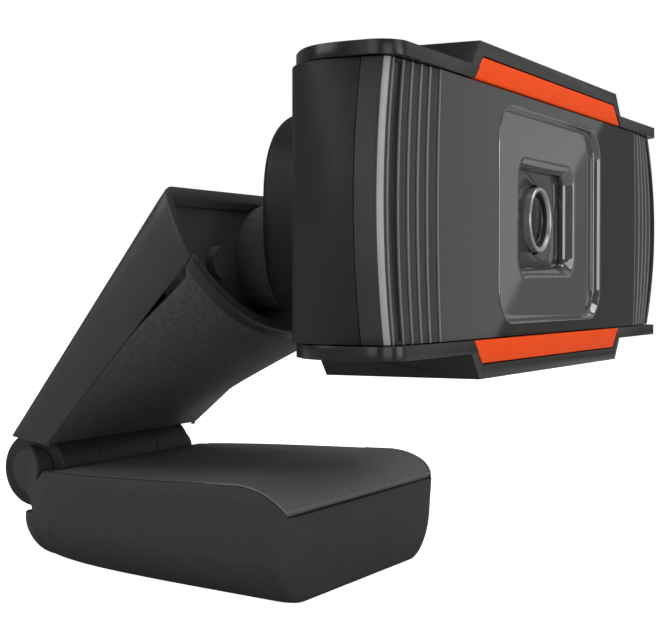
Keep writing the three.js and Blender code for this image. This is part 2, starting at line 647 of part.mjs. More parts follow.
// The foot's side view, as (y, z).
function footProfile() {
  const shape = new THREE.Shape();
  shape.moveTo(FOOT.frontY + 0.8, 0);
  shape.lineTo(FOOT.rearY - 4, 0);
  shape.absarc(FOOT.rearY - 4, 4, 4, -Math.PI / 2, 0);
  shape.lineTo(FOOT.rearY, FOOT_TOP.rearZ);
  shape.lineTo(FOOT_TOP.y, FOOT_TOP.z);
  shape.quadraticCurveTo(-14.2, FOOT_TOP.z, FOOT_TOP.noseY, FOOT_TOP.noseZ);
  shape.lineTo(FOOT.frontY, 0.8);
  shape.quadraticCurveTo(FOOT.frontY, 0, FOOT.frontY + 0.8, 0);
  return shape;
}

// Side view of everything above the pad's lower face, forward of its rear end.
function aboveFoot(drop, rearY) {
  const slope = (FOOT_TOP.rearZ - FOOT_TOP.z) / (FOOT.rearY - FOOT_TOP.y);
  const shape = new THREE.Shape();
  shape.moveTo(rearY, 30);
  shape.lineTo(-30, 30);
  shape.lineTo(-30, FOOT_TOP.noseZ - drop * 0.4);
  shape.lineTo(FOOT_TOP.noseY + drop, FOOT_TOP.noseZ - drop * 0.4);
  shape.quadraticCurveTo(-13.6, FOOT_TOP.z - drop, FOOT_TOP.y, FOOT_TOP.z - drop);
  shape.lineTo(rearY, FOOT_TOP.z + slope * (rearY - FOOT_TOP.y) - drop);
  shape.lineTo(rearY, 30);
  return shape;
}

function buildFoot(foot) {
  const stations = [-16.3, -16.1, -15.5, -14.1, 0, 6, 11, 15, 18.2, 21];
  const envelope = loft(stations.map((y) => footSection(y)));
  const within = (edge) => loft(stations.map((y) => footSection(y, edge)));
  const axis = [0, HINGE.y, HINGE.z];
  const whole = envelope.intersect(alongX(footProfile(), -25, 25));
  const overPad = alongX(aboveFoot(PAD.thickness + GAP, PAD.rearY + GAP), -25, 25);
  const padRoom = overPad.intersect(within(PAD.edge));
  const underPad = whole.subtract(padRoom);
  const notch = (from, to) => bar("x", NOTCH_RADIUS, from, to, axis, 28);
  const sideNotch = (from, to) => notch(from, to).intersect(box(-20, 20, HINGE.y - 1.9, 40, -5, 40));
  const inner = HINGE.centre + 0.1;
  const outer = HINGE.knuckleTo + 0.15;
  const earBars = join(
    bar("x", EAR_RADIUS, -16, -outer - 0.1, axis, 32),
    bar("x", EAR_RADIUS, outer + 0.1, 16, axis, 32),
  );
  const ears = envelope.intersect(earBars);
  const baseHalfY = (BASE.rearY - BASE.frontY) / 2;
  const baseMiddleY = (BASE.rearY + BASE.frontY) / 2;
  const cavityShape = roundedRectangle(BASE.halfX, baseHalfY, BASE.radius, 0, baseMiddleY);
  const cavity = alongZ(cavityShape, -1, BASE.cavityTo);
  const posts = [-1, 1].map((side) => {
    return bar("z", FOOT_SCREW.post, BASE.depth + GAP, 8, [side * FOOT_SCREW.x, 0, 0], 16);
  });
  const pilots = [-1, 1].map((side) => bar("z", PILOT, 0, 6.6, [side * FOOT_SCREW.x, 0, 0], 12));
  const body = cut(
    underPad,
    notch(inner, outer),
    notch(-outer, -inner),
    sideNotch(outer - 0.05, 20),
    sideNotch(-20, -outer + 0.05),
    cavity,
  );
  const knuckle = bar("x", HINGE.barrel, -HINGE.centre, HINGE.centre, axis, 32);
  const pinBore = bar("x", HINGE.pin + 0.15, -HINGE.pinEnd - 0.1, HINGE.pinEnd + 0.1, axis, 20);
  add(foot, "foot_housing", cut(join(body, ears, knuckle, ...posts), pinBore, ...pilots), "blackPlastic");

  const padRegion = alongX(aboveFoot(PAD.thickness, PAD.rearY), -25, 25);
  const pad = whole.intersect(padRegion).intersect(within(PAD.edge + GAP / 2));
  add(foot, "foot_top_pad", pad, "rubber");

  const plateShape = roundedRectangle(BASE.halfX - GAP, baseHalfY - GAP, BASE.radius - GAP, 0, baseMiddleY);
  const plate = alongZ(plateShape, 0, BASE.depth);
  const screwHoles = [-1, 1].flatMap((side) => [
    bar("z", CLEAR_HOLE, -1, 3, [side * FOOT_SCREW.x, 0, 0], 12),
    bar("z", 2, -1, 1.4, [side * FOOT_SCREW.x, 0, 0], 16),
  ]);
  add(foot, "foot_base_cover", cut(plate, ...screwHoles), "texturedPlastic");
  for (const [side, name] of [[-1, "left"], [1, "right"]]) {
    const made = screw(0, 0, FOOT_SCREW.length).rotate([-90, 0, 0]).translate([side * FOOT_SCREW.x, 0, 0.15]);
    add(foot, `foot_screw_${name}`, made, "steel");
  }
}

// ---------- assembly ----------
const webcam = new THREE.Group();
const arm = new THREE.Group();
arm.position.set(0, HINGE.y, HINGE.z);
arm.rotation.x = LEAN;
const head = new THREE.Group();
head.position.set(0, FACE_FROM_HINGE.y, FACE_FROM_HINGE.z);
const lens = new THREE.Group();
webcam.add(arm);
arm.add(head);
head.add(lens);

buildFoot(webcam);
buildArm(arm);
buildLiner(head);
buildBallStud(head);
buildHead(head);
buildLens(lens);

export default webcam;
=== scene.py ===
"""Looks of a clip-stand webcam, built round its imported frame. Metres, with shapes drawn in millimetres."""

import json
import math

import bmesh
import bpy
from mathutils import Matrix, Vector


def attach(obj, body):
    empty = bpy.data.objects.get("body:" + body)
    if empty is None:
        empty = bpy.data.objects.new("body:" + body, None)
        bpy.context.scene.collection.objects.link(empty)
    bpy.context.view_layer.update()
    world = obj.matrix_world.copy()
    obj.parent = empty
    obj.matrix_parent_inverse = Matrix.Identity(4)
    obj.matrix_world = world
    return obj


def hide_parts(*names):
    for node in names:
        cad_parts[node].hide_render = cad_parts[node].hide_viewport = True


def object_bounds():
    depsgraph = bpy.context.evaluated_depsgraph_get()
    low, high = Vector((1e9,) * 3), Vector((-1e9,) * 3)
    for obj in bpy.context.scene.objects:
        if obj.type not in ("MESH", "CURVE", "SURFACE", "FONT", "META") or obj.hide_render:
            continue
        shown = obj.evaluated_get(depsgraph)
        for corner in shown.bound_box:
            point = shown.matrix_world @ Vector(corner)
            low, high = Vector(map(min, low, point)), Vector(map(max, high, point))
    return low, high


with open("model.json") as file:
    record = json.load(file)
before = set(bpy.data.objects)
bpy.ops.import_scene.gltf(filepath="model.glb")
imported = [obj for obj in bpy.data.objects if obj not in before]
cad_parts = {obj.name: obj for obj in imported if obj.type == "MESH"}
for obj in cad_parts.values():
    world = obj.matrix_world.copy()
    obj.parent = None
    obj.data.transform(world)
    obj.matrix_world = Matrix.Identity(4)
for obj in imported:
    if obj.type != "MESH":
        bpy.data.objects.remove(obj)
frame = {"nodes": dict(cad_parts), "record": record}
cad_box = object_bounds()

MM = 0.001
ROW = Matrix.Identity(4)
JOINTS = {joint["name"]: joint for joint in frame["record"]["behaviour"]["joints"]}


def leaning_frame(joint):
    """The place of a joint whose own Y runs along the lens axis, as a 4x4 matrix."""
    depth = Vector(JOINTS["lens_focus"]["axis"]).normalized()
    across = Vector((1, 0, 0))
    turn = Matrix((across, depth, across.cross(depth))).transposed().to_4x4()
    return Matrix.Translation(Vector(JOINTS[joint]["pos_m"])) @ turn


HEAD = leaning_frame("lens_focus")  # origin in the middle of the face, Y runs back
ARM = leaning_frame("clip_hinge")  # origin on the hinge axis


# ---------- curves, as lists of (a, b) ----------
def cubic(p0, p1, p2, p3, steps):
    points = []
    for i in range(steps + 1):
        t = i / steps
        s = 1 - t
        weights = (s**3, 3 * s * s * t, 3 * s * t * t, t**3)
        points.append(tuple(sum(w * p[k] for w, p in zip(weights, (p0, p1, p2, p3))) for k in (0, 1)))
    return points


def quadratic(p0, p1, p2, steps):
    points = []
    for i in range(steps + 1):
        t = i / steps
        weights = ((1 - t) ** 2, 2 * t * (1 - t), t * t)
        points.append(tuple(sum(w * p[k] for w, p in zip(weights, (p0, p1, p2))) for k in (0, 1)))
    return points


def arc(a, b, radius, start, end, steps):
    """Round stretch about (a, b), with angles in degrees."""
    angles = [math.radians(start + (end - start) * i / steps) for i in range(steps + 1)]
    return [(a + radius * math.cos(t), b + radius * math.sin(t)) for t in angles]


def rounded_rectangle(half_a, half_b, radius, steps=10):
    corners = ((1, -1, -90), (1, 1, 0), (-1, 1, 90), (-1, -1, 180))
    points = []
    for sign_a, sign_b, start in corners:
        a, b = sign_a * (half_a - radius), sign_b * (half_b - radius)
        points += arc(a, b, radius, start, start + 90, steps)
    return points


def inset(outline, distance):
    """Moves every corner of a closed counter-clockwise outline inwards."""
    moved = []
    count = len(outline)
    for i, point in enumerate(outline):
        here = Vector(point)
        a = (here - Vector(outline[i - 1])).normalized()
        b = (Vector(outline[(i + 1) % count]) - here).normalized()
        normal = Vector((-a.y - b.y, a.x + b.x)).normalized()
        stretch = max(0.6, normal.dot(Vector((-a.y, a.x))))
        moved.append(tuple(here + normal * distance / stretch))
    return moved


def mirrored(half):
    """A whole outline from its right half, which starts and ends on the middle line."""
    inner = [p for p in half if p[0] > 1e-6]
    return [half[0], *inner, half[-1], *[(-a, b) for a, b in reversed(inner)]]


def smooth_step(value, low, high):
    t = min(1.0, max(0.0, (value - low) / (high - low)))
    return t * t * (3 - 2 * t)


# ---------- meshes ----------
def placed(name, data):
    """A new object in the scene that holds a mesh, a lamp or a camera."""
    obj = bpy.data.objects.new(name, data)
    bpy.context.collection.objects.link(obj)
    return obj


def mesh_object(name, points, faces, place, material_of=None, edges=()):
    """A mesh object from points in millimetres of a local frame. material_of picks a slot for each face."""
    mesh = bpy.data.meshes.new(name)
    mesh.from_pydata([place @ (Vector(p) * MM) for p in points], edges, faces)
    if material_of:
        for polygon, face in zip(mesh.polygons, faces):
            polygon.material_index = material_of(face)
    return placed(name, mesh)


def tidy_mesh(obj, closed=True):
    """Merges doubles and turns a closed mesh's faces outwards."""
    made = bmesh.new()
    made.from_mesh(obj.data)
    bmesh.ops.remove_doubles(made, verts=made.verts, dist=1e-6)
    bmesh.ops.dissolve_degenerate(made, edges=made.edges, dist=1e-7)
    if closed:
        bmesh.ops.recalc_face_normals(made, faces=made.faces)
    made.to_mesh(obj.data)
    made.free()


def baked(obj):
    """Replaces an object's mesh by its modifiers' result."""
    depsgraph = bpy.context.evaluated_depsgraph_get()
    result = bpy.data.meshes.new_from_object(obj.evaluated_get(depsgraph))
    obj.modifiers.clear()
    obj.data = result
    return obj


def combined(obj, cutter, operation):
    """The object joined with, or cut by, another closed object, which is used up."""
    change = obj.modifiers.new("combine", "BOOLEAN")
    change.operation = operation
    change.solver = "EXACT"
    change.object = cutter
    baked(obj)
    bpy.data.objects.remove(cutter)
    return obj


def rounded(obj, width, segments=3, angle=40):
    """Rounds an object's sharp edges by a width in millimetres."""
    edge = obj.modifiers.new("rounded edges", "BEVEL")
    edge.width = width * MM
    edge.segments = segments
    edge.limit_method = "ANGLE"
    edge.angle_limit = math.radians(angle)
    edge.use_clamp_overlap = True
    baked(obj)
    return obj


def shaded(obj, angle=32):
    """Smooth shading that stays sharp over edges steeper than an angle in degrees."""
    obj.data.shade_smooth()
    obj.data.set_sharp_from_angle(angle=math.radians(angle))
    return obj


def grid_faces(rows, columns, first=0, closed=False):
    """Quads over a grid of rows x columns points stored row by row."""
    faces = []
    for r in range(rows - 1):
        for c in range(columns if closed else columns - 1):
            a = first + r * columns + c
            b = first + r * columns + (c + 1) % columns
            faces.append((a, b, b + columns, a + columns))
    return faces


def wall_between(outer, inner):
    """Points and faces of a closed wall between two open grids of the same size, each a list of rows."""
    rows, columns = len(outer), len(outer[0])
    size = rows * columns
    points = [tuple(p) for row in (*outer, *inner) for p in row]
    faces = grid_faces(rows, columns) + grid_faces(rows, columns, size)
    border = list(range(columns))
    border += [r * columns + columns - 1 for r in range(1, rows)]
    border += [(rows - 1) * columns + c for c in range(columns - 2, -1, -1)]
    border += [r * columns for r in range(rows - 2, 0, -1)]
    faces += [(a, b, b + size, a + size) for a, b in zip(border, border[1:] + border[:1])]
    return points, faces


def prism(name, outline, start, end, place, axis):
    """A closed outline pushed along "x", "y" or "z" between two places."""
    put = {
        "x": lambda a, b, d: (d, a, b),
        "y": lambda a, b, d: (a, d, b),
        "z": lambda a, b, d: (a, b, d),
    }[axis]
    count = len(outline)
    points = [put(a, b, start) for a, b in outline] + [put(a, b, end) for a, b in outline]
    faces = grid_faces(2, count, closed=True)
    faces += [tuple(range(count)), tuple(range(count, 2 * count))]
    obj = mesh_object(name, points, faces, place)
    tidy_mesh(obj)
    return obj


def turned(name, profile, place, centre=(0, 0, 0), axis="y", sides=96):
    """A closed (radius, along) profile turned about an axis through a centre."""
    points = []
    for i in range(sides):
        angle = 2 * math.pi * i / sides
        c, s = math.cos(angle), math.sin(angle)
        for radius, along in profile:
            local = {"y": (radius * c, along, radius * s), "x": (along, radius * c, radius * s)}[axis]
            points.append(tuple(v + o for v, o in zip(local, centre)))
    columns = len(profile)
    faces = []
    for i in range(sides):
        for c in range(columns):
            a, b = i * columns + c, i * columns + (c + 1) % columns
            shift = ((i + 1) % sides) * columns - i * columns
            faces.append((a, b, b + shift, a + shift))
    obj = mesh_object(name, points, faces, place)
    tidy_mesh(obj)
    return obj


def joined(name, *objects):
    """Several meshes as one object."""
    made = bmesh.new()
    for obj in objects:
        made.from_mesh(obj.data)
    mesh = bpy.data.meshes.new(name)
    made.to_mesh(mesh)
    made.free()
    for material in objects[0].data.materials:
        mesh.materials.append(material)
    for obj in objects:
        bpy.data.objects.remove(obj)
    return placed(name, mesh)


# ---------- materials ----------
def linear(value):
    """Display levels of 255 as the linear values that a colour socket takes."""
    return tuple(((c / 255 + 0.055) / 1.055) ** 2.4 if c > 10 else c / 255 / 12.92 for c in value)


class Look:
    """A procedural material: mottled colour, uneven roughness and a fine bump on Object coordinates."""

    def __init__(self, name, colour, roughness, **shader):
        self.material = bpy.data.materials.new(name)
        self.material.use_nodes = True
        self.tree = self.material.node_tree
        self.shader = self.tree.nodes["Principled BSDF"]
        self.colour = (*linear(colour), 1)
        self.roughness = roughness
        self.shader.inputs["Base Color"].default_value = self.colour
        self.shader.inputs["Roughness"].default_value = roughness
        for socket, value in shader.items():
            self.shader.inputs[socket.replace("_", " ")].default_value = value
        self.place = self.node("ShaderNodeTexCoord").outputs["Object"]

    def node(self, kind, **settings):
        made = self.tree.nodes.new(kind)
        for key, value in settings.items():
            if hasattr(made, key):
                setattr(made, key, value)
            else:
                made.inputs[key.replace("_", " ")].default_value = value
        return made

    def link(self, source, target):
        self.tree.links.new(source, target)

    def noise(self, size_mm, detail=3.0, rough=0.55):
        texture = self.node("ShaderNodeTexNoise", Scale=1 / (size_mm * MM), Detail=detail, Roughness=rough)
        self.link(self.place, texture.inputs["Vector"])
        return texture.outputs["Fac"]

    def spread(self, source, low, high, out_low, out_high):
        span = self.node("ShaderNodeMapRange", clamp=True)
        ranges = {"From Min": low, "From Max": high, "To Min": out_low, "To Max": out_high}
        for key, value in ranges.items():
            span.inputs[key].default_value = value
        self.link(source, span.inputs["Value"])
        return span.outputs["Result"]

    def mottle(self, size_mm, amount):
        """Colour that drifts lighter and darker by an amount."""
        ramp = self.node("ShaderNodeValToRGB")
        ramp.color_ramp.elements[0].position = 0.3
        ramp.color_ramp.elements[1].position = 0.7
        for element, scale in zip(ramp.color_ramp.elements, (1 - amount, 1 + amount)):
            element.color = (*[min(1, c * scale) for c in self.colour[:3]], 1)
        self.link(self.noise(size_mm), ramp.inputs["Fac"])
        self.link(ramp.outputs["Color"], self.shader.inputs["Base Color"])
        return self

    def uneven(self, size_mm, amount):
        """Roughness that drifts, as handled plastic has."""
        low, high = self.roughness - amount, self.roughness + amount
        self.link(self.spread(self.noise(size_mm, 4), 0.3, 0.7, low, high), self.shader.inputs["Roughness"])
        return self

    def grain(self, size_mm, height_mm, strength=1.0, detail=2.0):
        """A fine eroded surface."""
        bump = self.node("ShaderNodeBump", Strength=strength, Distance=height_mm * MM)
        self.link(self.noise(size_mm, detail, 0.6), bump.inputs["Height"])
        self.link(bump.outputs["Normal"], self.shader.inputs["Normal"])
        return self


def make_looks():
    """Every finish of the webcam: colour and roughness first, then how each one drifts and is grained."""
    looks = {
        "face": Look("gloss_face_plastic", (27, 27, 26), 0.035, Specular_IOR_Level=0.42),
        "rib": Look("rib_plastic", (42, 42, 41), 0.45, Specular_IOR_Level=0.2),
        # rib highlight: a light grey that paints the highlight on the edges between the ribs
        "rib highlight": Look("rib_bead_painted_highlight", (98, 98, 97), 0.5, Specular_IOR_Level=0.3),
        # corner: a lighter grey that paints a highlight on the face's rounded corners, on top of the corner
        # card's real reflection
        "corner": Look("corner_painted_highlight", (126, 126, 126), 0.4, Specular_IOR_Level=0.5),
        "casing": Look("casing_plastic", (27, 27, 27), 0.5, Specular_IOR_Level=0.15),
        "cap": Look("cap_plastic", (24, 24, 23), 0.24, Specular_IOR_Level=0.22),
        "orange": Look("orange_strip", (208, 64, 3), 0.55, Specular_IOR_Level=0.1),
        "bezel": Look("bezel_plastic", (64, 64, 64), 0.035, Specular_IOR_Level=1.0),
        "surround": Look("surround_plastic", (40, 40, 39), 0.12, Specular_IOR_Level=0.35),
        "silver": Look("silver_ring", (150, 150, 150), 0.3, Metallic=0.5),
        "glass": Look("coated_glass", (4, 4, 5), 0.06, Specular_IOR_Level=0.16),
        "lens black": Look("lens_black", (7, 7, 7), 0.5, Specular_IOR_Level=0.1),
        "arm": Look("arm_plastic", (45, 45, 44), 0.42, Specular_IOR_Level=0.3),
        # arm inside: the arm's plastic painted about twice as light, painted light standing in for light
        # inside the hollow arm
        "arm inside painted light": Look("arm_inside_painted_light", (92, 92, 91), 0.7, Specular_IOR_Level=0.2),
        # cup: the socket cup and its screws painted mid grey instead of black, painted light that lifts the
        # shade inside the arm's mouth
        "cup": Look("cup_painted_light", (66, 66, 65), 0.7, Specular_IOR_Level=0.15),
        "arm texture": Look("arm_eroded_plastic", (64, 64, 62), 0.6, Specular_IOR_Level=0.25),
        # barrel: the hinge drums painted darker than the arm and foot plastic, painted shade for the shadow
        # round the hinge
        "barrel": Look("hinge_painted_shade", (29, 29, 29), 0.5, Specular_IOR_Level=0.2),
        "foot": Look("foot_plastic", (44, 44, 42), 0.6, Specular_IOR_Level=0.2),
        "pad": Look("pad_rubber", (88, 87, 87), 0.72, Specular_IOR_Level=0.2),
        "pad edge": Look("pad_edge_rubber", (96, 96, 95), 0.6, Specular_IOR_Level=0.3),
        "steel": Look("zinc_steel", (150, 150, 152), 0.34, Metallic=1.0),
        "nylon": Look("natural_nylon", (214, 210, 200), 0.45),
        "board": Look("board_lacquer", (28, 92, 52), 0.35),
        "chip": Look("chip_epoxy", (24, 25, 27), 0.55),
        "grommet": Look("grommet_rubber", (26, 26, 26), 0.7, Specular_IOR_Level=0.3),
    }
    looks["face"].mottle(9, 0.05).uneven(5, 0.008).grain(0.6, 0.0003, 0.4)
    looks["rib"].mottle(3, 0.08).uneven(2, 0.05).grain(0.25, 0.004)
    looks["rib highlight"].mottle(4, 0.06).uneven(2, 0.06).grain(0.3, 0.002, 0.5)
    looks["corner"].mottle(5, 0.05).uneven(2, 0.05).grain(0.3, 0.0015, 0.5)
    looks["casing"].mottle(7, 0.08).uneven(4, 0.05).grain(0.3, 0.0015)
    looks["cap"].mottle(6, 0.08).uneven(3, 0.05).grain(0.3, 0.0015)
    looks["orange"].mottle(3, 0.03).uneven(2, 0.04).grain(0.18, 0.003)
    looks["bezel"].mottle(6, 0.05).uneven(4, 0.008).grain(0.6, 0.0003, 0.4)
    looks["surround"].mottle(3, 0.06).uneven(2, 0.02).grain(0.4, 0.0006, 0.5)
    looks["silver"].mottle(1.5, 0.05).uneven(1, 0.05).grain(0.15, 0.0015)
    looks["glass"].mottle(2, 0.3).grain(1.5, 0.0004, 0.3)
    looks["lens black"].mottle(1, 0.1)
    looks["arm"].mottle(5, 0.08).uneven(3, 0.05).grain(0.3, 0.003)
    looks["arm inside painted light"].mottle(2, 0.08)
    looks["cup"].mottle(2, 0.08)
    looks["arm texture"].mottle(0.35, 0.28).grain(0.28, 0.018)
    looks["barrel"].mottle(2, 0.15).uneven(1, 0.06).grain(0.3, 0.003)
    looks["foot"].mottle(0.8, 0.08).uneven(3, 0.04).grain(0.28, 0.007)
    looks["pad"].mottle(0.6, 0.08).grain(0.22, 0.012)
    looks["pad edge"].mottle(1, 0.08).grain(0.3, 0.004)
    looks["steel"].mottle(0.6, 0.12).uneven(0.4, 0.08).grain(0.2, 0.002)
    looks["nylon"].mottle(1, 0.04).grain(0.4, 0.002)
    looks["board"].mottle(2, 0.2).grain(0.5, 0.002)
    looks["chip"].mottle(0.5, 0.2).grain(0.2, 0.004)
    looks["grommet"].mottle(1, 0.15).grain(0.3, 0.006)
    return {name: look.material for name, look in looks.items()}


LOOKS = make_looks()


def finished(obj, body, look, replaces=(), also=()):
    """Gives a piece its materials, shading and place in the table."""
    regions = [polygon.material_index for polygon in obj.data.polygons]
    obj.data.materials.clear()
    for name in (look, *also):
        obj.data.materials.append(LOOKS[name])
    obj.data.polygons.foreach_set("material_index", regions)
    shaded(obj)
    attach(obj, body)
    if replaces:
        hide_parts(*replaces)
    return obj


# ---------- head casing ----------
FACE_X, FACE_Z = 28.6, 11.1
CORNER_X, CORNER_Y, REAR_Y = 37.75, 1.2, 16.2
RIBS = (28.6, 30.4, 31.9, 33.4, 34.9, 36.5)
TAPER, TUCK = 0.04, 0.35
WIDEST = 39.84
SKIN = 1.2
PARTING_Y = 2.5
PATCH_X = 17.5
SCREW_X, SCREW_HEAD = 27.5, 1.65
WINDOW = (15.45, 10.04, 3.5)
SURROUND = (8.25, 5.4, 1.8)
LEVELS = [FACE_Z * math.sin(math.radians(angle)) / math.sin(math.radians(80)) for angle in range(-80, 81, 8)]


def swollen(x, y, z):
    """A casing point at height z: the ends swell out at mid-height and fall back at top and bottom."""
    out = abs(x)
    reach = min(1, max(0, (out - FACE_X) / (CORNER_X - FACE_X)))
    fade = 1 - smooth_step(y, 2, 9)
    height = min(1, (z / FACE_Z) ** 2)
    push = smooth_step(out, FACE_X - 2, FACE_X) * fade * (0.6 + 1.5 * reach) * (1 - height)
    return (math.copysign(min(out + push, WIDEST), x), y + TUCK * reach * fade * height, z)


def rib_depth(x):
    """How far the ribbed surface lies behind the face."""
    return TAPER * max(0, x - FACE_X)


def front_run():
    """Right half of the front plan, from beside the window out to the parting line."""
    run = [(PATCH_X + (FACE_X - 0.12 - PATCH_X) * i / 6, 0) for i in range(7)]
    edges = [*RIBS, 36.9]
    for start, end in zip(edges, edges[1:]):
        base = rib_depth(start)
        run += [(start + 0.05, base + 0.36), (start + 0.16, base + 0.42)]
        inner = start + 0.3
        for i in range(4):
            x = inner + (end - inner - 0.08) * i / 3
            run.append((x, rib_depth(x) + 0.2 - 0.14 * math.sin(math.pi * (0.2 + 0.7 * i / 3))))
    run += [(36.9, 0.34), (37.1, 0.36), (37.35, 0.45), (37.52, 0.58)]
    run += quadratic((37.54, 0.6), (37.74, 0.82), (CORNER_X, CORNER_Y), 6)
    run += [(CORNER_X + 0.02 * i, CORNER_Y + (PARTING_Y - CORNER_Y) * i / 3) for i in (1, 2, 3)]
    return run


def skin_strip(run):
    """Points and faces of a plan run raised through every level, swollen at mid-height."""
    points = [swollen(x, y, z) for x, y in run for z in LEVELS]
    return points, grid_faces(len(run), len(LEVELS))


def window_patch():
    """The flat face round the lens window, out to the strips beside it."""
    rim = rounded_rectangle(*WINDOW)
    outer = [(PATCH_X, z) for z in LEVELS]
    outer += [(PATCH_X - 2 * PATCH_X * i / 24, FACE_Z) for i in range(1, 24)]
    outer += [(-PATCH_X, z) for z in reversed(LEVELS)]
    outer += [(-PATCH_X + 2 * PATCH_X * i / 24, -FACE_Z) for i in range(1, 24)]
    made = bmesh.new()
    loops = []
    for ring in (rim, outer):
        corners = [made.verts.new((x, 0, z)) for x, z in ring]
        loops += [made.edges.new((corners[i - 1], corners[i])) for i in range(len(corners))]
    bmesh.ops.triangle_fill(made, use_beauty=True, use_dissolve=False, edges=loops)
    points = [tuple(v.co) for v in made.verts]
    made.verts.index_update()
    faces = [tuple(v.index for v in f.verts) for f in made.faces]
    made.free()
    return points, faces


def stacked(*parts):
    """Several (points, faces) sets as one."""
    points, faces = [], []
    for more_points, more_faces in parts:
        faces += [tuple(i + len(points) for i in face) for face in more_faces]
        points += more_points
    return points, faces


def facing(obj, toward):
    """Turns an open skin's faces to one side: toward gives the outward direction at a face's middle."""
    made = bmesh.new()
    made.from_mesh(obj.data)
    bmesh.ops.remove_doubles(made, verts=made.verts, dist=1e-6)
    made.normal_update()
    for face in made.faces:
        if face.normal.dot(toward(face.calc_center_median())) < 0:
            face.normal_flip()
    made.to_mesh(obj.data)
    made.free()
    return obj


def thickened(obj, thickness):
    """Gives a skin a wall on its inner side, of a thickness in millimetres."""
    wall = obj.modifiers.new("wall", "SOLIDIFY")
    wall.thickness = thickness * MM
    wall.offset = -1
    wall.use_even_offset = False
    return baked(obj)


def away_from_core(point):
    """Outward direction of the casing at a point, from a line along its middle."""
    local = HEAD.inverted() @ point
    core = Vector((max(-0.03, min(0.03, local.x)), 0.007, local.z))
    return HEAD.to_3x3() @ (local - core)


def front_region(run):
    """Picks the face, rib or corner material from the part of the run that a face of the skin starts at; the
    corner material is a lighter grey that paints a highlight on the rounded corners.
    """

    def region(face):
        column = min(face) // len(LEVELS)
        if column >= 2 * len(run):
            return 0
        x, y = run[column % len(run)]
        if x < FACE_X - 0.2:
            return 0
        # slot 2 paints a highlight on the rounded corner
        return 2 if x > 37.0 and y < 0.62 else 1

    return region


def build_front_casing():
    """The face, its ribs and its corners with a painted highlight, as one skin with a wall."""
    run = front_run()
    points, faces = stacked(skin_strip(run), skin_strip([(-x, y) for x, y in run]), window_patch())
    obj = mesh_object("front_casing", points, faces, HEAD, front_region(run))
    facing(obj, away_from_core)
    thickened(obj, SKIN)
    return finished(obj, "head", "face", ["front_housing"], ["rib", "corner"])


def build_rear_casing():
    """The casing behind the parting line, with its two screw wells and the boss."""
    run = cubic((CORNER_X + 0.06, PARTING_Y + 0.08), (38.3, 6.2), (38.2, 9), (33.5, 11.2), 20)
    run += cubic((33.5, 11.2), (27, 14.2), (18, REAR_Y), (0, REAR_Y), 24)[1:]
    run += [(-x, y) for x, y in reversed(run[:-1])]
    points, faces = skin_strip(run)
    shell = mesh_object("rear_casing", points, faces, HEAD)
    facing(shell, away_from_core)
    thickened(shell, SKIN)
    tidy_mesh(shell)
    bore = [(0.01, 11.5), (1.95, 11.5), (1.95, 20), (0.01, 20)]
    for side in (-1, 1):
        combined(shell, turned("well", bore, HEAD, (side * SCREW_X, 0, 0)), "DIFFERENCE")
    rounded(shell, 0.12, 2, 45)
    casing = joined("rear_casing", shell, boss())
    return finished(casing, "head", "casing", ["rear_housing"])


BOSS_X, BOSS_Z, BOSS_MIDDLE, BOSS_Y = 10.9, 10.9, 0.7, 27.3
ROOT_Y, ROOT_TOP = 16.6, 11.0  # before ROOT_Y the boss is kept under the top lid
STUD_HOLE, STUD_Z, STUD_DEEP = 2.2, -3.5, 15.6


def superellipse(half_x, half_z, middle_z, sides=120, power=2.8):
    """A closed outline between an ellipse (power 2) and a rectangle (a high power)."""
    points = []
    for i in range(sides):
        angle = 2 * math.pi * i / sides
        c, s = math.cos(angle), math.sin(angle)
        x = half_x * math.copysign(abs(c) ** (2 / power), c)
        points.append((x, middle_z + half_z * math.copysign(abs(s) ** (2 / power), s)))
    return points


def boss():
    """The deep boss on the casing's back that carries the ball stud."""
    rim = 1.3
    stations = [(15.3, 0), (16.4, 0), (16.9, 0)]
    angles = [math.pi / 16 * i for i in range(9)]
    stations += [(BOSS_Y - rim + rim * math.sin(a), rim * (1 - math.cos(a))) for a in angles]
    rings = []
    for y, d in stations:
        ring = superellipse(BOSS_X - d, BOSS_Z - d, BOSS_MIDDLE)
        rings.append([(x, y, min(z, ROOT_TOP) if y < ROOT_Y else z) for x, z in ring])
    count = len(rings[0])
    hole = superellipse(STUD_HOLE, STUD_HOLE, STUD_Z, power=2)
    inner = [(x, BOSS_Y - 0.2, z) for x, z in hole]
    points = [p for ring in rings for p in ring] + inner
    faces = grid_faces(len(rings) + 1, count, closed=True)
    deep = len(points)
    points += [(x, STUD_DEEP, z) for x, z in hole]
    pairs = [(i, (i + 1) % count) for i in range(count)]
    faces += [(deep - count + i, deep - count + j, deep + j, deep + i) for i, j in pairs]
    faces += [(i, j, deep + j, deep + i) for i, j in pairs]
    obj = mesh_object("boss", points, faces, HEAD)
    tidy_mesh(obj)
    return obj


def cap_outline():
    """The plan of a lid, a little wider than the casing's top and bottom edges."""
    half = [(0, -0.3)]
    half += arc(36.1, 2.0, 2.3, -90, 0, 14)
    half += cubic((38.4, 2.2), (38.4, 6.2), (38.2, 7.9), (33.6, 10.8), 18)
    half += cubic((33.6, 10.8), (27, 14.2), (18, 16.5), (0, 16.5), 24)[1:]
    return mirrored(half)


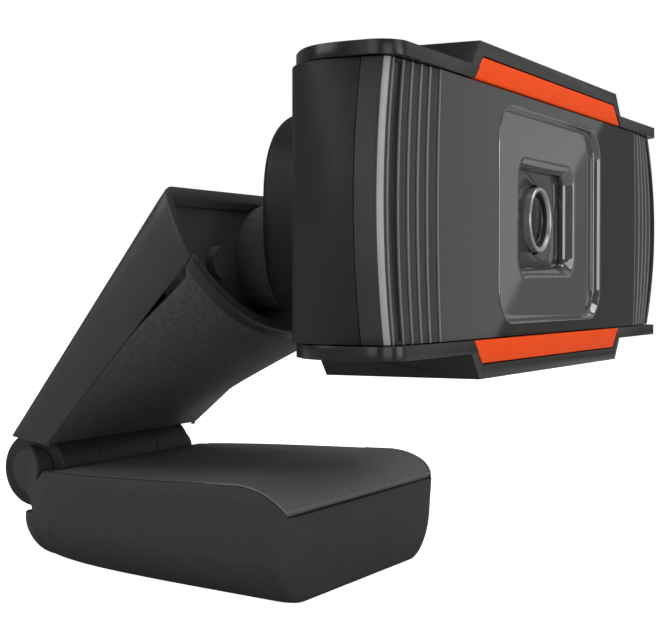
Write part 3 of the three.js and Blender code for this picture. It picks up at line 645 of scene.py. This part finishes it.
def build_cap(name, sign):
    """The lid over the casing's top (sign 1) or bottom (sign -1), its raised plate and its strip."""
    lid = prism(name, cap_outline(), sign * 11.2, sign * 12.34, HEAD, "z")
    plate = [(-22.5, 12.2), (22.5, 12.2), (20.53, 14.64), (-20.53, 14.64)]
    combined(lid, prism("plate", [(x, sign * z) for x, z in plate], -0.2, 14.7, HEAD, "y"), "UNION")
    seat = [(-23.2, 10), (23.2, 10), (19.77, 13.39), (-19.77, 13.39)]
    combined(lid, prism("seat", [(x, sign * z) for x, z in seat], -3, 1.7, HEAD, "y"), "DIFFERENCE")
    rounded(lid, 0.16, 3, 30)
    strip_shape = [(-21.92, 11.25), (21.92, 11.25), (19.67, 13.29), (-19.67, 13.29)]
    side = "top" if sign > 0 else "bottom"
    strip = prism(f"{side}_orange_strip", [(x, sign * z) for x, z in strip_shape], -0.2, 1.5, HEAD, "y")
    rounded(strip, 0.12, 3, 30)
    finished(lid, "head", "cap", [f"{side}_cap"])
    finished(strip, "head", "orange", [f"{side}_accent_strip"])


# ---------- ribs, swept along their own lines ----------
def shape_tree(name, given, sizes, result):
    """A Geometry Nodes tree from one shape and some sizes to one shape, with the sizes' socket names."""
    tree = bpy.data.node_groups.new(name, "GeometryNodeTree")
    tree.interface.new_socket(given, in_out="INPUT", socket_type="NodeSocketGeometry")
    sockets = []
    for size in sizes:
        socket = tree.interface.new_socket(size, in_out="INPUT", socket_type="NodeSocketFloat")
        sockets.append(socket.identifier)
    tree.interface.new_socket(result, in_out="OUTPUT", socket_type="NodeSocketGeometry")
    return tree, sockets


def sweep_tree(name, material):
    """A node tree that sweeps a small oval section along every edge line of a mesh."""
    tree, sockets = shape_tree(name, "Lines", ["Width", "Height"], "Ribs")
    given = tree.nodes.new("NodeGroupInput")
    result = tree.nodes.new("NodeGroupOutput")
    lines = tree.nodes.new("GeometryNodeMeshToCurve")
    section = tree.nodes.new("GeometryNodeCurvePrimitiveCircle")
    section.inputs["Resolution"].default_value = 10
    section.inputs["Radius"].default_value = 1
    shape = tree.nodes.new("GeometryNodeTransform")
    scale = tree.nodes.new("ShaderNodeCombineXYZ")
    scale.inputs["Z"].default_value = 1
    sweep = tree.nodes.new("GeometryNodeCurveToMesh")
    sweep.inputs["Fill Caps"].default_value = True
    real = tree.nodes.new("GeometryNodeRealizeInstances")
    paint = tree.nodes.new("GeometryNodeSetMaterial")
    paint.inputs["Material"].default_value = material
    for source, target in (
        (given.outputs["Lines"], lines.inputs["Mesh"]),
        (given.outputs["Width"], scale.inputs["X"]),
        (given.outputs["Height"], scale.inputs["Y"]),
        (scale.outputs["Vector"], shape.inputs["Scale"]),
        (section.outputs["Curve"], shape.inputs["Geometry"]),
        (lines.outputs["Curve"], sweep.inputs["Curve"]),
        (shape.outputs["Geometry"], sweep.inputs["Profile Curve"]),
        (sweep.outputs["Mesh"], real.inputs["Geometry"]),
        (real.outputs["Geometry"], paint.inputs["Geometry"]),
        (paint.outputs["Geometry"], result.inputs["Ribs"]),
    ):
        tree.links.new(source, target)
    return tree, sockets


def swept(name, lines, place, look, width, height):
    """Beads of an oval section along lines of local points, made by Geometry Nodes."""
    points = [p for line in lines for p in line]
    edges, first = [], 0
    for line in lines:
        edges += [(first + i, first + i + 1) for i in range(len(line) - 1)]
        first += len(line)
    obj = mesh_object(name, points, [], place, edges=edges)
    tree, sockets = sweep_tree(name + "_sweep", LOOKS[look])
    change = obj.modifiers.new("sweep", "NODES")
    change.node_group = tree
    for socket, size in zip(sockets, (width, height)):
        change[socket] = size * MM
    baked(obj)
    tidy_mesh(obj)
    return obj


def build_rib_edges():
    """Edge beads between the ribs at both ends of the face, in a light grey that paints the highlight on the
    rib edges.
    """
    lines = []
    for side in (-1, 1):
        for x in RIBS:
            lines.append([swollen(side * (x + 0.02), rib_depth(x) + 0.12, z) for z in LEVELS])
    obj = swept("rib_edge_beads", lines, HEAD, "rib highlight", 0.14, 0.14)
    return finished(obj, "head", "rib highlight")


# ---------- lens ----------
RING_BORE, RING_RADIUS, RING_HOLE = 2.74, 3.21, 3.46
GLASS_RADIUS, GLASS_BULGE, GLASS_Y = 2.6, 0.42, 1.62


def plate_with_hole(name, outer, hole, front, back, place):
    """A flat plate with a hole whose two outlines have the same number of points."""
    count = len(outer)
    points = []
    for y in (front, back):
        points += [(x, y, z) for x, z in outer] + [(x, y, z) for x, z in hole]
    faces = []
    for i in range(count):
        j = (i + 1) % count
        faces += [
            (i, j, count + j, count + i),
            (2 * count + i, 2 * count + j, 3 * count + j, 3 * count + i),
            (i, j, 2 * count + j, 2 * count + i),
            (count + i, count + j, 3 * count + j, 3 * count + i),
        ]
    obj = mesh_object(name, points, faces, place)
    tidy_mesh(obj)
    return obj


def bezel_ring(size, grow, y):
    """A ring of the bezel at depth y: the window's or the surround's outline, grown by a distance."""
    return [(x, y, z) for x, z in rounded_rectangle(*[v + grow for v in size])]


def build_bezel():
    """The glossy plate in the window: a raised lip, a flat, and a sloping basin round the lens."""
    lip = [(-0.02, -0.03), (-0.08, -0.06), (-0.2, -0.04), (-0.28, 0.04), (-0.42, 0.58), (-0.52, 0.64)]
    flat = [(-0.75, 0.66), (-0.95, 0.66), (-1.2, 0.66)]
    rings = [bezel_ring(WINDOW, grow, y) for grow, y in [*lip, *flat]]
    basin = [(0.8, 0.66), (0.6, 0.66), (0.36, 0.66), (0.2, 0.67), (0.05, 0.74)]
    basin += [(-0.55, 1.5), (-0.65, 1.62), (-0.65, 2.0)]
    back = [(0.75, 2.0), (0.75, 1.0)]
    rings += [bezel_ring(SURROUND, grow, y) for grow, y in [*basin, *back]]
    rings.append(bezel_ring(WINDOW, -0.02, 1.0))
    points = [point for ring in rings for point in ring]
    count = len(rings[0])
    faces = grid_faces(len(rings), count, closed=True)
    last = (len(rings) - 1) * count
    faces += [(last + i, last + (i + 1) % count, (i + 1) % count, i) for i in range(count)]
    bezel = mesh_object("lens_bezel_plate", points, faces, HEAD)
    tidy_mesh(bezel)
    finished(bezel, "head", "bezel", ["lens_bezel"])


def build_surround():
    """The plate behind the bezel, with a round hole that clears the focus ring."""
    turns = [math.pi * 2 * i / 44 - 2.3 for i in range(44)]
    hole = [(RING_HOLE * math.cos(turn), RING_HOLE * math.sin(turn)) for turn in turns]
    plate = plate_with_hole("lens_surround_plate", rounded_rectangle(9.4, 6.6, 3.0), hole, 2.05, 3.1, HEAD)
    rounded(plate, 0.1, 2, 30)
    finished(plate, "head", "surround", ["lens_surround"])


def build_lens():
    """The focus ring, the black barrel inside it and the domed front glass."""
    rim = [(RING_BORE, 1.62), (2.86, 1.36), (2.98, 1.3), (3.14, 1.34), (RING_RADIUS, 1.44)]
    ring = turned("focus_ring_metal", [*rim, (RING_RADIUS, 2.6), (RING_BORE, 2.6)], HEAD)
    finished(ring, "lens", "silver", ["focus_ring"])
    throat = [(2.72, 1.66), (2.5, 1.8), (2.2, 2.3), (2.2, 8.3), (3.05, 8.3), (3.05, 2.8), (2.72, 2.7)]
    barrel = turned("lens_barrel_moulding", throat, HEAD)
    finished(barrel, "lens", "lens black", ["lens_barrel"])
    dome = [(0.001, GLASS_Y)]
    for i in range(1, 17):
        a = math.pi / 2 * i / 16
        dome.append((GLASS_RADIUS * math.sin(a), GLASS_Y + GLASS_BULGE * (1 - math.cos(a))))
    dome += [(GLASS_RADIUS, 2.25), (0.001, 2.25)]
    glass = turned("front_glass", dome, HEAD)
    finished(glass, "lens", "glass", ["front_lens_element"])


# ---------- arm ----------
ARM_WALL = 1.2
TROUGH_STEPS, FLANK_STEPS, ROUND_STEPS, BACK_STEPS = 28, 12, 8, 8
LOW_FRONT, LOW_BACK = Vector((-3.2, 2.96)), Vector((1.68, 3.75))
MOUTH_Y, MOUTH_SLOPE = -32.67, 0.378


def mouth_half():
    """Right half of the arm's open top end, from the middle of its trough to the middle of its back."""
    trough = cubic((0, 14.6), (8, 14.6), (15.3, 15.9), (19.3, 22.5), TROUGH_STEPS)
    flank = cubic((19.3, 22.5), (20.0, 23.7), (20.4, 25.2), (20.4, 27.3), FLANK_STEPS)[1:]
    turn = quadratic((20.4, 27.3), (20.4, 29.55), (18.6, 29.55), ROUND_STEPS)[1:]
    back = [(18.6 * (1 - i / BACK_STEPS), 29.55) for i in range(1, BACK_STEPS + 1)]
    return [*trough, *flank, *turn, *back]


def foot_half():
    """Right half of the arm's lower end, with as many points as the mouth."""
    width, depth, turn_radius = 14.7, (LOW_BACK - LOW_FRONT).length, 1.0
    low = depth - turn_radius
    trough = [(width * i / TROUGH_STEPS, 0) for i in range(TROUGH_STEPS + 1)]
    flank = [(width, low * i / FLANK_STEPS) for i in range(1, FLANK_STEPS + 1)]
    turn = quadratic((width, low), (width, depth), (width - turn_radius, depth), ROUND_STEPS)[1:]
    back = [((width - turn_radius) * (1 - i / BACK_STEPS), depth) for i in range(1, BACK_STEPS + 1)]
    return [*trough, *flank, *turn, *back]


def arm_ring(place, distance):
    """A ring of the arm's hollow shape: place 0 is its lower end and place 1 its mouth."""
    along = (LOW_BACK - LOW_FRONT).normalized()
    low_ring = inset(mirrored(foot_half()), distance)
    high_ring = inset(mirrored(mouth_half()), distance)
    ring = []
    for (low_x, low_d), (x, z) in zip(low_ring, high_ring):
        yz = LOW_FRONT + along * low_d
        low = Vector((low_x, yz.x, yz.y))
        high = Vector((x, MOUTH_Y + MOUTH_SLOPE * z, z))
        ring.append(low.lerp(high, place))
    return ring


def arm_wall(name, outer, inner, inside, material_of_row=lambda row: 0):
    """A wall of the arm, with the material slot of its inner side and those of its outer rows."""
    points, faces = wall_between(outer, inner)
    size, columns = len(points) // 2, len(outer[0])

    def region(face):
        return inside if min(face) >= size else material_of_row(min(i % size for i in face) // columns)

    obj = mesh_object(name, points, faces, ARM, region)
    tidy_mesh(obj)
    return obj


def seam_gap(place):
    """How far the trough stands off the back cover: a hairline low down, wider below the mouth's band."""
    return 0.05 + 0.8 * smooth_step(place, 0.58, 0.93) * (1 - smooth_step(place, 0.945, 0.965))


def arm_rows():
    """Stations along the arm with their inset: the last rows make the smooth band round the mouth."""
    rows = [(i / 40 * 0.96, 0) for i in range(41)]
    return [*rows, (0.965, 0.03), (0.99, 0.03), (1.0, 0.14)]


def build_arm_shells():
    """The arm's back cover and its eroded front trough, two shells that meet along both edges."""
    outer = [arm_ring(place, distance) for place, distance in arm_rows()]
    inner = [arm_ring(max(place, 0.05), ARM_WALL) for place, _ in arm_rows()]
    count = len(outer[0])
    crease = TROUGH_STEPS
    back_index = list(range(crease, count - crease + 1))
    front_index = [i % count for i in range(count - crease, count + crease + 1)]
    back = arm_wall(
        "arm_back_cover",
        [[ring[i] for i in back_index] for ring in outer],
        [[ring[i] for i in back_index] for ring in inner],
        1,
    )
    rounded(back, 0.16, 3, 38)
    trough_outer, trough_inner = [], []
    for (place, _), out_ring, in_ring in zip(arm_rows(), outer, inner):
        for rows, ring in ((trough_outer, out_ring), (trough_inner, in_ring)):
            row = [ring[i].copy() for i in front_index]
            for edge, neighbour in ((0, 3), (-1, -4)):
                away = (row[neighbour] - row[edge]).normalized()
                for step, fade in ((0, 1.0), (1, 0.6), (2, 0.25)):
                    index = step if edge == 0 else -1 - step
                    row[index] += away * seam_gap(place) * fade
            rows.append(row)
    band_row = len(arm_rows()) - 4
    trough = arm_wall("arm_trough", trough_outer, trough_inner, 2, lambda row: int(row >= band_row))
    rounded(trough, 0.16, 3, 38)
    # the inner sides take the lightened inside grey, which is painted light
    finished(back, "arm", "arm", ["arm_back_shell"], ["arm inside painted light"])
    finished(trough, "arm", "arm texture", ["arm_front_trough"], ["arm", "arm inside painted light"])


def skirted_profile(start, end, reach, radius=3.99, bore=1.35, edge=0.12):
    """A drum whose rim at its start reaches further, over the washer beside it."""
    profile = [(bore, start), (3.25, start), (3.25, start - reach)]
    profile += [(r, a) for a, r in arc(start - reach + edge, radius - edge, edge, 180, 90, 4)]
    profile += [(r, a) for a, r in arc(end - edge, radius - edge, edge, 90, 0, 4)]
    return [*profile, (bore, end)]


def build_hinge():
    """Two drums of the arm and one of the foot between them, all on the hinge pin."""
    # the drums take the darkened barrel grey, which is painted shade
    for side, name in ((-1, "left"), (1, "right")):
        profile = [(r, side * a) for r, a in skirted_profile(5.9, 12.5, 0.25)]
        drum = turned(f"arm_knuckle_{name}", profile, ARM, axis="x")
        finished(drum, "arm", "barrel")
    half = skirted_profile(-5.2, 0, 0.35)
    profile = [*half[:-5], *[(r, -a) for r, a in reversed(half[:-5])]]
    drum = turned("foot_knuckle", profile, ARM, axis="x")
    web = prism("web", [(-5.5, -6), (0, -6), (0, -2), (-3.2, -2.3), (-5.5, -2.8)], -5.2, 5.2, ARM, "x")
    finished(joined("foot_knuckle", drum, web), "foot", "barrel")


# ---------- foot ----------
HINGE_Y, HINGE_Z = [v / MM for v in JOINTS["clip_hinge"]["pos_m"][1:]]
FOOT_FRONT, FOOT_REAR = -16.3, 18.2
TOP_Y, TOP_Z, NOSE_Y, NOSE_Z, REAR_Z = -10.5, 11.5, -15.7, 9.4, 9.3
ROLL_Y = -14.2
TOP_SLOPE = (REAR_Z - TOP_Z) / (FOOT_REAR - TOP_Y)
PAD_REAR, PAD_POCKET = 12.8, 1.35
NOTCH = 4.45
REAR_HALF, FRONT_EXTRA = 13.15, 5.35
TAPER_START, TAPER_LENGTH, TAPER_POWER = -12, 30.5, 4.65
FRONT_CORNER, FLOOR_CORNER = 2.2, 4.8


def foot_half_width(y):
    """Half the foot's width: wide and nearly even at the front, with round corners, and narrow behind."""
    along = max(0, (y - TAPER_START) / TAPER_LENGTH)
    half = max(REAR_HALF, REAR_HALF + FRONT_EXTRA * (1 - along**TAPER_POWER))
    near_front = min(FRONT_CORNER, max(0, y - FOOT_FRONT))
    return half - (FRONT_CORNER - math.sqrt(FRONT_CORNER**2 - (FRONT_CORNER - near_front) ** 2))


def foot_top(y):
    """Height of the foot's upper side: the roll-over at the nose, then the long slope."""
    if y >= TOP_Y:
        return TOP_Z + TOP_SLOPE * (y - TOP_Y)
    a, b, c = NOSE_Y - 2 * ROLL_Y + TOP_Y, 2 * (ROLL_Y - TOP_Y), TOP_Y - y
    t = min(1, (-b - math.sqrt(max(0, b * b - 4 * a * c))) / (2 * a))
    return (1 - t) ** 2 * TOP_Z + 2 * t * (1 - t) * TOP_Z + t * t * NOSE_Z


def foot_floor(y):
    """Height of the foot's underside, with its rounded rear end."""
    rear = FOOT_REAR - 4
    if y > rear:
        return 4 - math.sqrt(max(0, 16 - (y - rear) ** 2))
    return 0


def matched_ring(y, top, bottom, shrink, rim):
    """A foot ring whose points keep their roles: floor, corner, side, the rim round the pad and the top."""
    half = foot_half_width(y) - shrink
    radius = max(0.2, min(FLOOR_CORNER - shrink * 0.6, (rim - bottom) * 0.8))
    floor = [((half - radius) * i / 6, bottom) for i in range(6)]
    corner = arc(half - radius, bottom + radius, radius, -90, 0, 14)
    side = [(half, bottom + radius + (rim - 0.12 - bottom - radius) * i / 4) for i in range(1, 5)]
    lip = [(half - 0.04, rim - 0.03), (half - 0.12, rim), (half - 0.52, rim), (half - 0.54, top)]
    lid = [((half - 0.54) * (1 - i / 6), top) for i in range(1, 7)]
    return [(x, y, z) for x, z in mirrored([*floor, *corner, *side, *lip, *lid])]


def build_foot():
    """The foot's body, from its rounded front edge to its rounded heel, and its two ears."""
    edge = 0.7
    stations = []
    for i in range(7):
        a = math.pi / 2 * i / 6
        stations.append((FOOT_FRONT + edge * (1 - math.cos(a)), edge * (1 - math.sin(a))))
    full = [-15.3, -15.0, -14.6, -14.1, -13, -11, -8, -4, 0, 4, 7, 9, 10.5, 11.5, 12.4]
    full += [13.0, 13.35, 13.6, 14.0, 14.5, 15, 15.5, 16, 16.5, 17, 17.5]
    stations += [(y, 0) for y in full]
    stations += [(17.8, 0.05), (18.0, 0.15), (18.12, 0.35), (18.17, 0.6)]
    rings = []
    for y, shrink in stations:
        rim = foot_top(y) if y > NOSE_Y else NOSE_Z - 0.5
        top = min(rim, NOSE_Z - 0.5) if y < 0 else rim
        if NOSE_Y + 1.2 < y < PAD_REAR + 0.2:
            top = rim - PAD_POCKET
        reach = NOTCH**2 - (y - HINGE_Y) ** 2
        if reach > 0:
            top = min(top, HINGE_Z - math.sqrt(reach))
            rim = min(rim, HINGE_Z - math.sqrt(reach))
        bottom = max(foot_floor(y), shrink)
        top, rim = max(top, bottom + 0.6), max(rim, bottom + 0.6)
        rings.append(matched_ring(y, top, bottom, shrink, rim))
    count = len(rings[0])
    points = [p for ring in rings for p in ring]
    faces = grid_faces(len(rings), count, closed=True)
    faces += [tuple(range(count)), tuple(range(len(points) - count, len(points)))]
    body = mesh_object("foot_body", points, faces, ROW)
    tidy_mesh(body)
    ears = [foot_ear(side) for side in (-1, 1)]
    finished(joined("foot_body", body, *ears), "foot", "foot", ["foot_housing"])


def foot_ear(side):
    """The disc and web at one end of the hinge, flush with the foot's side."""
    inner_x = 12.68
    outline = arc(HINGE_Y, HINGE_Z, 2.6, 190, -100, 40)
    outline += [(16.3, 5.2), (16.3, 4.2), (12.4, 3.0), (12.4, foot_top(12.4) - 0.4)]
    outline += [(13.2, foot_top(13.2) - 0.05), (14.4, foot_top(14.4) - 0.02)]
    count = len(outline)
    points = []
    for shrink, out in ((0.0, None), (0.0, 0.25), (0.2, 0.0)):
        shape = inset(outline[::-1], shrink)[::-1] if shrink else outline
        for y, z in shape:
            x = inner_x if out is None else foot_half_width(min(y, FOOT_REAR + 3)) - out
            points.append((side * x, y, z))
    faces = grid_faces(3, count, closed=True)
    faces += [tuple(range(count)), tuple(range(2 * count, 3 * count))]
    obj = mesh_object("ear", points, faces, ROW)
    made = bmesh.new()
    made.from_mesh(obj.data)
    bmesh.ops.triangulate(made, faces=[f for f in made.faces if len(f.verts) > 4])
    made.to_mesh(obj.data)
    made.free()
    tidy_mesh(obj)
    return obj


def pad_run():
    """The pad's middle line from below the nose, over the roll and back along the slope."""
    nose = quadratic((NOSE_Y + 0.03, NOSE_Z - 0.45), (NOSE_Y - 0.06, NOSE_Z - 0.2), (NOSE_Y, NOSE_Z), 3)
    roll = quadratic((NOSE_Y, NOSE_Z), (ROLL_Y, TOP_Z), (TOP_Y, TOP_Z), 18)[1:]
    top = [(y, foot_top(y)) for y in (-9, -7, -4, -1, 2, 5, 7, 8.5, 9.5, 10.5, 11.3, 12, 12.5, PAD_REAR)]
    return [*nose, *roll, *top]


def build_pad():
    """The soft pad let into the foot's top and rolled over the nose."""
    thick, edge = 1.2, 0.25
    run = pad_run()
    angles = [math.pi / 12 * i for i in range(7)]
    curl = [(edge - edge * math.sin(a), edge * (1 - math.cos(a))) for a in angles]
    outer, inner = [], []
    for k, (y, z) in enumerate(run):
        before, after = run[max(0, k - 1)], run[min(len(run) - 1, k + 1)]
        slope = Vector((after[0] - before[0], after[1] - before[1])).normalized()
        normal = Vector((-slope.y, slope.x))
        half = foot_half_width(max(y, -16.0)) - 0.56
        right = [((half - edge) * i / 10, 0) for i in range(11)]
        right += [(half - inward, d) for inward, d in curl[1:]]
        right.append((half, thick))
        section = [(-x, d) for x, d in reversed(right[1:])] + right
        outer.append([(x, y - normal.x * d, z - normal.y * d) for x, d in section])
        inner.append([(x, y - normal.x * thick, z - normal.y * thick) for x, _ in section])
    pad = mesh_object("foot_grip_pad", *wall_between(outer, inner), ROW)
    tidy_mesh(pad)
    finished(pad, "foot", "pad", ["foot_top_pad"])


def build_pad_rim():
    """The fine raised bead round the front of the pad."""
    side = [(foot_half_width(max(y, -16)) - 0.5, y, z - 0.02) for y, z in pad_run()[3:] if y < -5]
    across = [(side[0][0] * i / 8, NOSE_Y, NOSE_Z - 0.06) for i in range(-7, 8)]
    line = [(-x, y, z) for x, y, z in reversed(side)] + across + side
    bead = swept("pad_rim_bead", [line], ROW, "pad edge", 0.12, 0.12)
    finished(bead, "foot", "pad edge")


# ---------- screws ----------
CASING_SCREW_Y, BASE_SCREW_X, BASE_SCREW_Z = 13.3, 8, 0.2


def screw_tree(master):
    """A node tree that sets a screw on every point it is given."""
    tree, (size_socket,) = shape_tree("screw_places", "Places", ["Head size"], "Screws")
    given = tree.nodes.new("NodeGroupInput")
    result = tree.nodes.new("NodeGroupOutput")
    source = tree.nodes.new("GeometryNodeObjectInfo")
    source.inputs["Object"].default_value = master
    put = tree.nodes.new("GeometryNodeInstanceOnPoints")
    real = tree.nodes.new("GeometryNodeRealizeInstances")
    paint = tree.nodes.new("GeometryNodeSetMaterial")
    paint.inputs["Material"].default_value = LOOKS["steel"]
    for a, b in (
        (given.outputs["Places"], put.inputs["Points"]),
        (source.outputs["Geometry"], put.inputs["Instance"]),
        (given.outputs["Head size"], put.inputs["Scale"]),
        (put.outputs["Instances"], real.inputs["Geometry"]),
        (real.outputs["Geometry"], paint.inputs["Geometry"]),
        (paint.outputs["Geometry"], result.inputs["Screws"]),
    ):
        tree.links.new(a, b)
    return tree, size_socket


def screw_master(toward):
    """A unit screw head with a cross recess, its axis along a direction and its crown at the origin."""
    turn = Vector((0, 1, 0)).rotation_difference(toward).to_matrix().to_4x4()
    profile = [(0.01, -0.6), (1.0, -0.6), (1.0, -0.25), (0.9, -0.08), (0.6, 0.0), (0.01, 0.0)]
    head = turned("screw_master", profile, turn, sides=48)
    for a, b in ((0.62, 0.14), (0.14, 0.62)):
        recess = prism("recess", [(-a, -b), (a, -b), (a, b), (-a, b)], -0.35, 1, turn, "y")
        combined(head, recess, "DIFFERENCE")
    return head


def build_screws(name, places, toward, body, replaced):
    """Screw heads at places in metres, with their crowns turned toward a direction."""
    master = screw_master(toward)
    for vertex in master.data.vertices:
        vertex.co /= MM
    mesh = bpy.data.meshes.new(name)
    mesh.from_pydata(places, [], [])
    obj = placed(name, mesh)
    tree, socket = screw_tree(master)
    change = obj.modifiers.new("screws", "NODES")
    change.node_group = tree
    change[socket] = SCREW_HEAD * MM
    baked(obj)
    bpy.data.objects.remove(master)
    finished(obj, body, "steel", replaced)


def build_all_screws():
    """Two screws in the wells of the casing's back and two under the foot."""
    back = HEAD.to_3x3() @ Vector((0, 1, 0))
    places = [HEAD @ (Vector((side * SCREW_X, CASING_SCREW_Y, 0)) * MM) for side in (-1, 1)]
    build_screws("casing_screws", places, back, "head", ["housing_screw_left", "housing_screw_right"])
    down = Vector((0, 0, -1))
    places = [Vector((side * BASE_SCREW_X, 0, BASE_SCREW_Z)) * MM for side in (-1, 1)]
    build_screws("base_screws", places, down, "foot", ["foot_screw_left", "foot_screw_right"])


# ---------- carried-over nodes ----------
CARRIED = {
    "lens black": ("lens_holder",),
    # the socket cup and its screws take the lifted cup grey, which is painted light
    "cup": ("socket_cup", "socket_screw_left", "socket_screw_right"),
    "steel": (
        "ball_stud",
        "ball_stud_nut",
        "hinge_pin",
        "friction_washer_left",
        "friction_washer_right",
        "board_screw_left",
        "board_screw_right",
        "crystal",
        "microphone_capsule",
    ),
    "nylon": ("socket_liner", "cable_connector"),
    "glass": ("rear_lens_element", "ir_filter"),
    "chip": ("image_sensor", "controller_chip", "memory_chip"),
    "board": ("main_board",),
    "grommet": ("cable_inlet_grommet",),
    "foot": ("foot_base_cover",),
}


def paint_carried_nodes():
    """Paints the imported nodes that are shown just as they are."""
    for look, names in CARRIED.items():
        for name in names:
            obj = frame["nodes"][name]
            obj.data.materials.clear()
            obj.data.materials.append(LOOKS[look])


# ---------- studio ----------
EYE = Vector((-143.1, -47.96, -6.48))  # the camera, in head millimetres


def build_floor():
    """A pale floor just under the foot, plain white where the camera looks at it directly."""
    size, low = 3.0, cad_box[0][2] - 0.0002
    mesh = bpy.data.meshes.new("studio_floor")
    corners = [(-size, -size, low), (size, -size, low), (size, size, low), (-size, size, low)]
    mesh.from_pydata(corners, [], [(0, 1, 2, 3)])
    material = bpy.data.materials.new("pale_floor")
    material.use_nodes = True
    tree = material.node_tree
    shader = tree.nodes["Principled BSDF"]
    shader.inputs["Base Color"].default_value = (0.5, 0.5, 0.5, 1)
    shader.inputs["Roughness"].default_value = 0.9
    shader.inputs["Specular IOR Level"].default_value = 0.1
    shader.inputs["Emission Color"].default_value = (1, 1, 1, 1)
    rays = tree.nodes.new("ShaderNodeLightPath")
    tree.links.new(rays.outputs["Is Camera Ray"], shader.inputs["Emission Strength"])
    mesh.materials.append(material)
    placed("studio_floor", mesh)


def lamp(name, place, across, up, size, watts):
    """A rectangular lamp placed in head millimetres. It shines away from across x up."""
    data = bpy.data.lights.new(name, "AREA")
    data.shape = "RECTANGLE"
    data.size, data.size_y = size[0] * MM, size[1] * MM
    data.energy = watts
    turn = Matrix((across, up, across.cross(up))).transposed().to_4x4()
    placed(name, data).matrix_world = HEAD @ Matrix.Translation(Vector(place) * MM) @ turn


def aimed_lamp(name, place, target, size, watts):
    """A lamp turned toward a target."""
    toward = (Vector(target) - Vector(place)).normalized()
    across = toward.cross(Vector((0, 0, 1))).normalized()
    lamp(name, place, across, across.cross(toward), size, watts)


def face_card(watts):
    """A lit card mirrored in the face, whose lower edge shows as a slanting line across the lens bezel."""
    mirror_eye = Vector((EYE.x, -EYE.y, EYE.z))
    low, high = Vector((-11, 0, -7.6)), Vector((15.5, 0, 10.5))
    up = (low - mirror_eye).cross(high - mirror_eye).normalized()
    ray = (low - mirror_eye).normalized()
    width, height, distance = 620, 320, 520
    place = mirror_eye + ray * distance + up * height / 2
    lamp("face_card", place, up.cross(ray), up, (width, height), watts)


def build_studio():
    """The floor, a backdrop that the camera sees white, and six soft lamps with the card."""
    build_floor()
    world = bpy.data.worlds.new("studio")
    bpy.context.scene.world = world
    world.use_nodes = True
    tree = world.node_tree
    backdrop = tree.nodes["Background"]
    backdrop.inputs["Color"].default_value = (1, 1, 1, 1)
    backdrop.inputs["Strength"].default_value = 1.0
    fill = tree.nodes.new("ShaderNodeBackground")
    fill.inputs["Color"].default_value = (1, 1, 1, 1)
    fill.inputs["Strength"].default_value = 0.16
    rays = tree.nodes.new("ShaderNodeLightPath")
    mix = tree.nodes.new("ShaderNodeMixShader")
    tree.links.new(rays.outputs["Is Camera Ray"], mix.inputs["Fac"])
    tree.links.new(fill.outputs["Background"], mix.inputs[1])
    tree.links.new(backdrop.outputs["Background"], mix.inputs[2])
    tree.links.new(mix.outputs["Shader"], tree.nodes["World Output"].inputs["Surface"])
    aimed_lamp("front_box", (20, -320, 130), (0, 0, 2), (200, 200), 0.36)
    aimed_lamp("corner_card", (70, -400, -9), (-36, 0, 0), (200, 140), 0.42)
    aimed_lamp("low_box", (-210, -230, -15), (0, 20, -20), (180, 180), 0.42)
    aimed_lamp("side_box", (-340, 40, 60), (0, 20, -10), (200, 200), 0.4)
    aimed_lamp("top_box", (60, -80, 330), (0, 0, 0), (260, 260), 1.15)
    aimed_lamp("back_rim", (-230, 330, 160), (0, 30, 0), (240, 240), 0.7)
    face_card(0.24)
    bpy.context.scene.view_settings.view_transform = "Standard"


def build_camera():
    """The camera stands to the left of the face, level with the head's lower half."""
    data = bpy.data.cameras.new("camera")
    data.sensor_width = 36
    data.lens = 82.04
    data.clip_start = 0.01
    forward = Vector((0.8918, 0.4518, -0.0229)).normalized()
    up = Vector((0.0204, 0.0103, 0.9997))
    across = forward.cross(up).normalized()
    turn = Matrix((across, across.cross(forward), -forward)).transposed().to_4x4()
    camera = placed("camera", data)
    camera.matrix_world = HEAD @ Matrix.Translation(EYE * MM) @ turn
    bpy.context.scene.camera = camera


build_camera()
build_studio()
build_front_casing()
build_rear_casing()
build_cap("top_lid", 1)
build_cap("bottom_lid", -1)
build_rib_edges()
build_bezel()
build_surround()
build_lens()
build_arm_shells()
build_hinge()
build_foot()
build_pad()
build_pad_rim()
build_all_screws()
paint_carried_nodes()
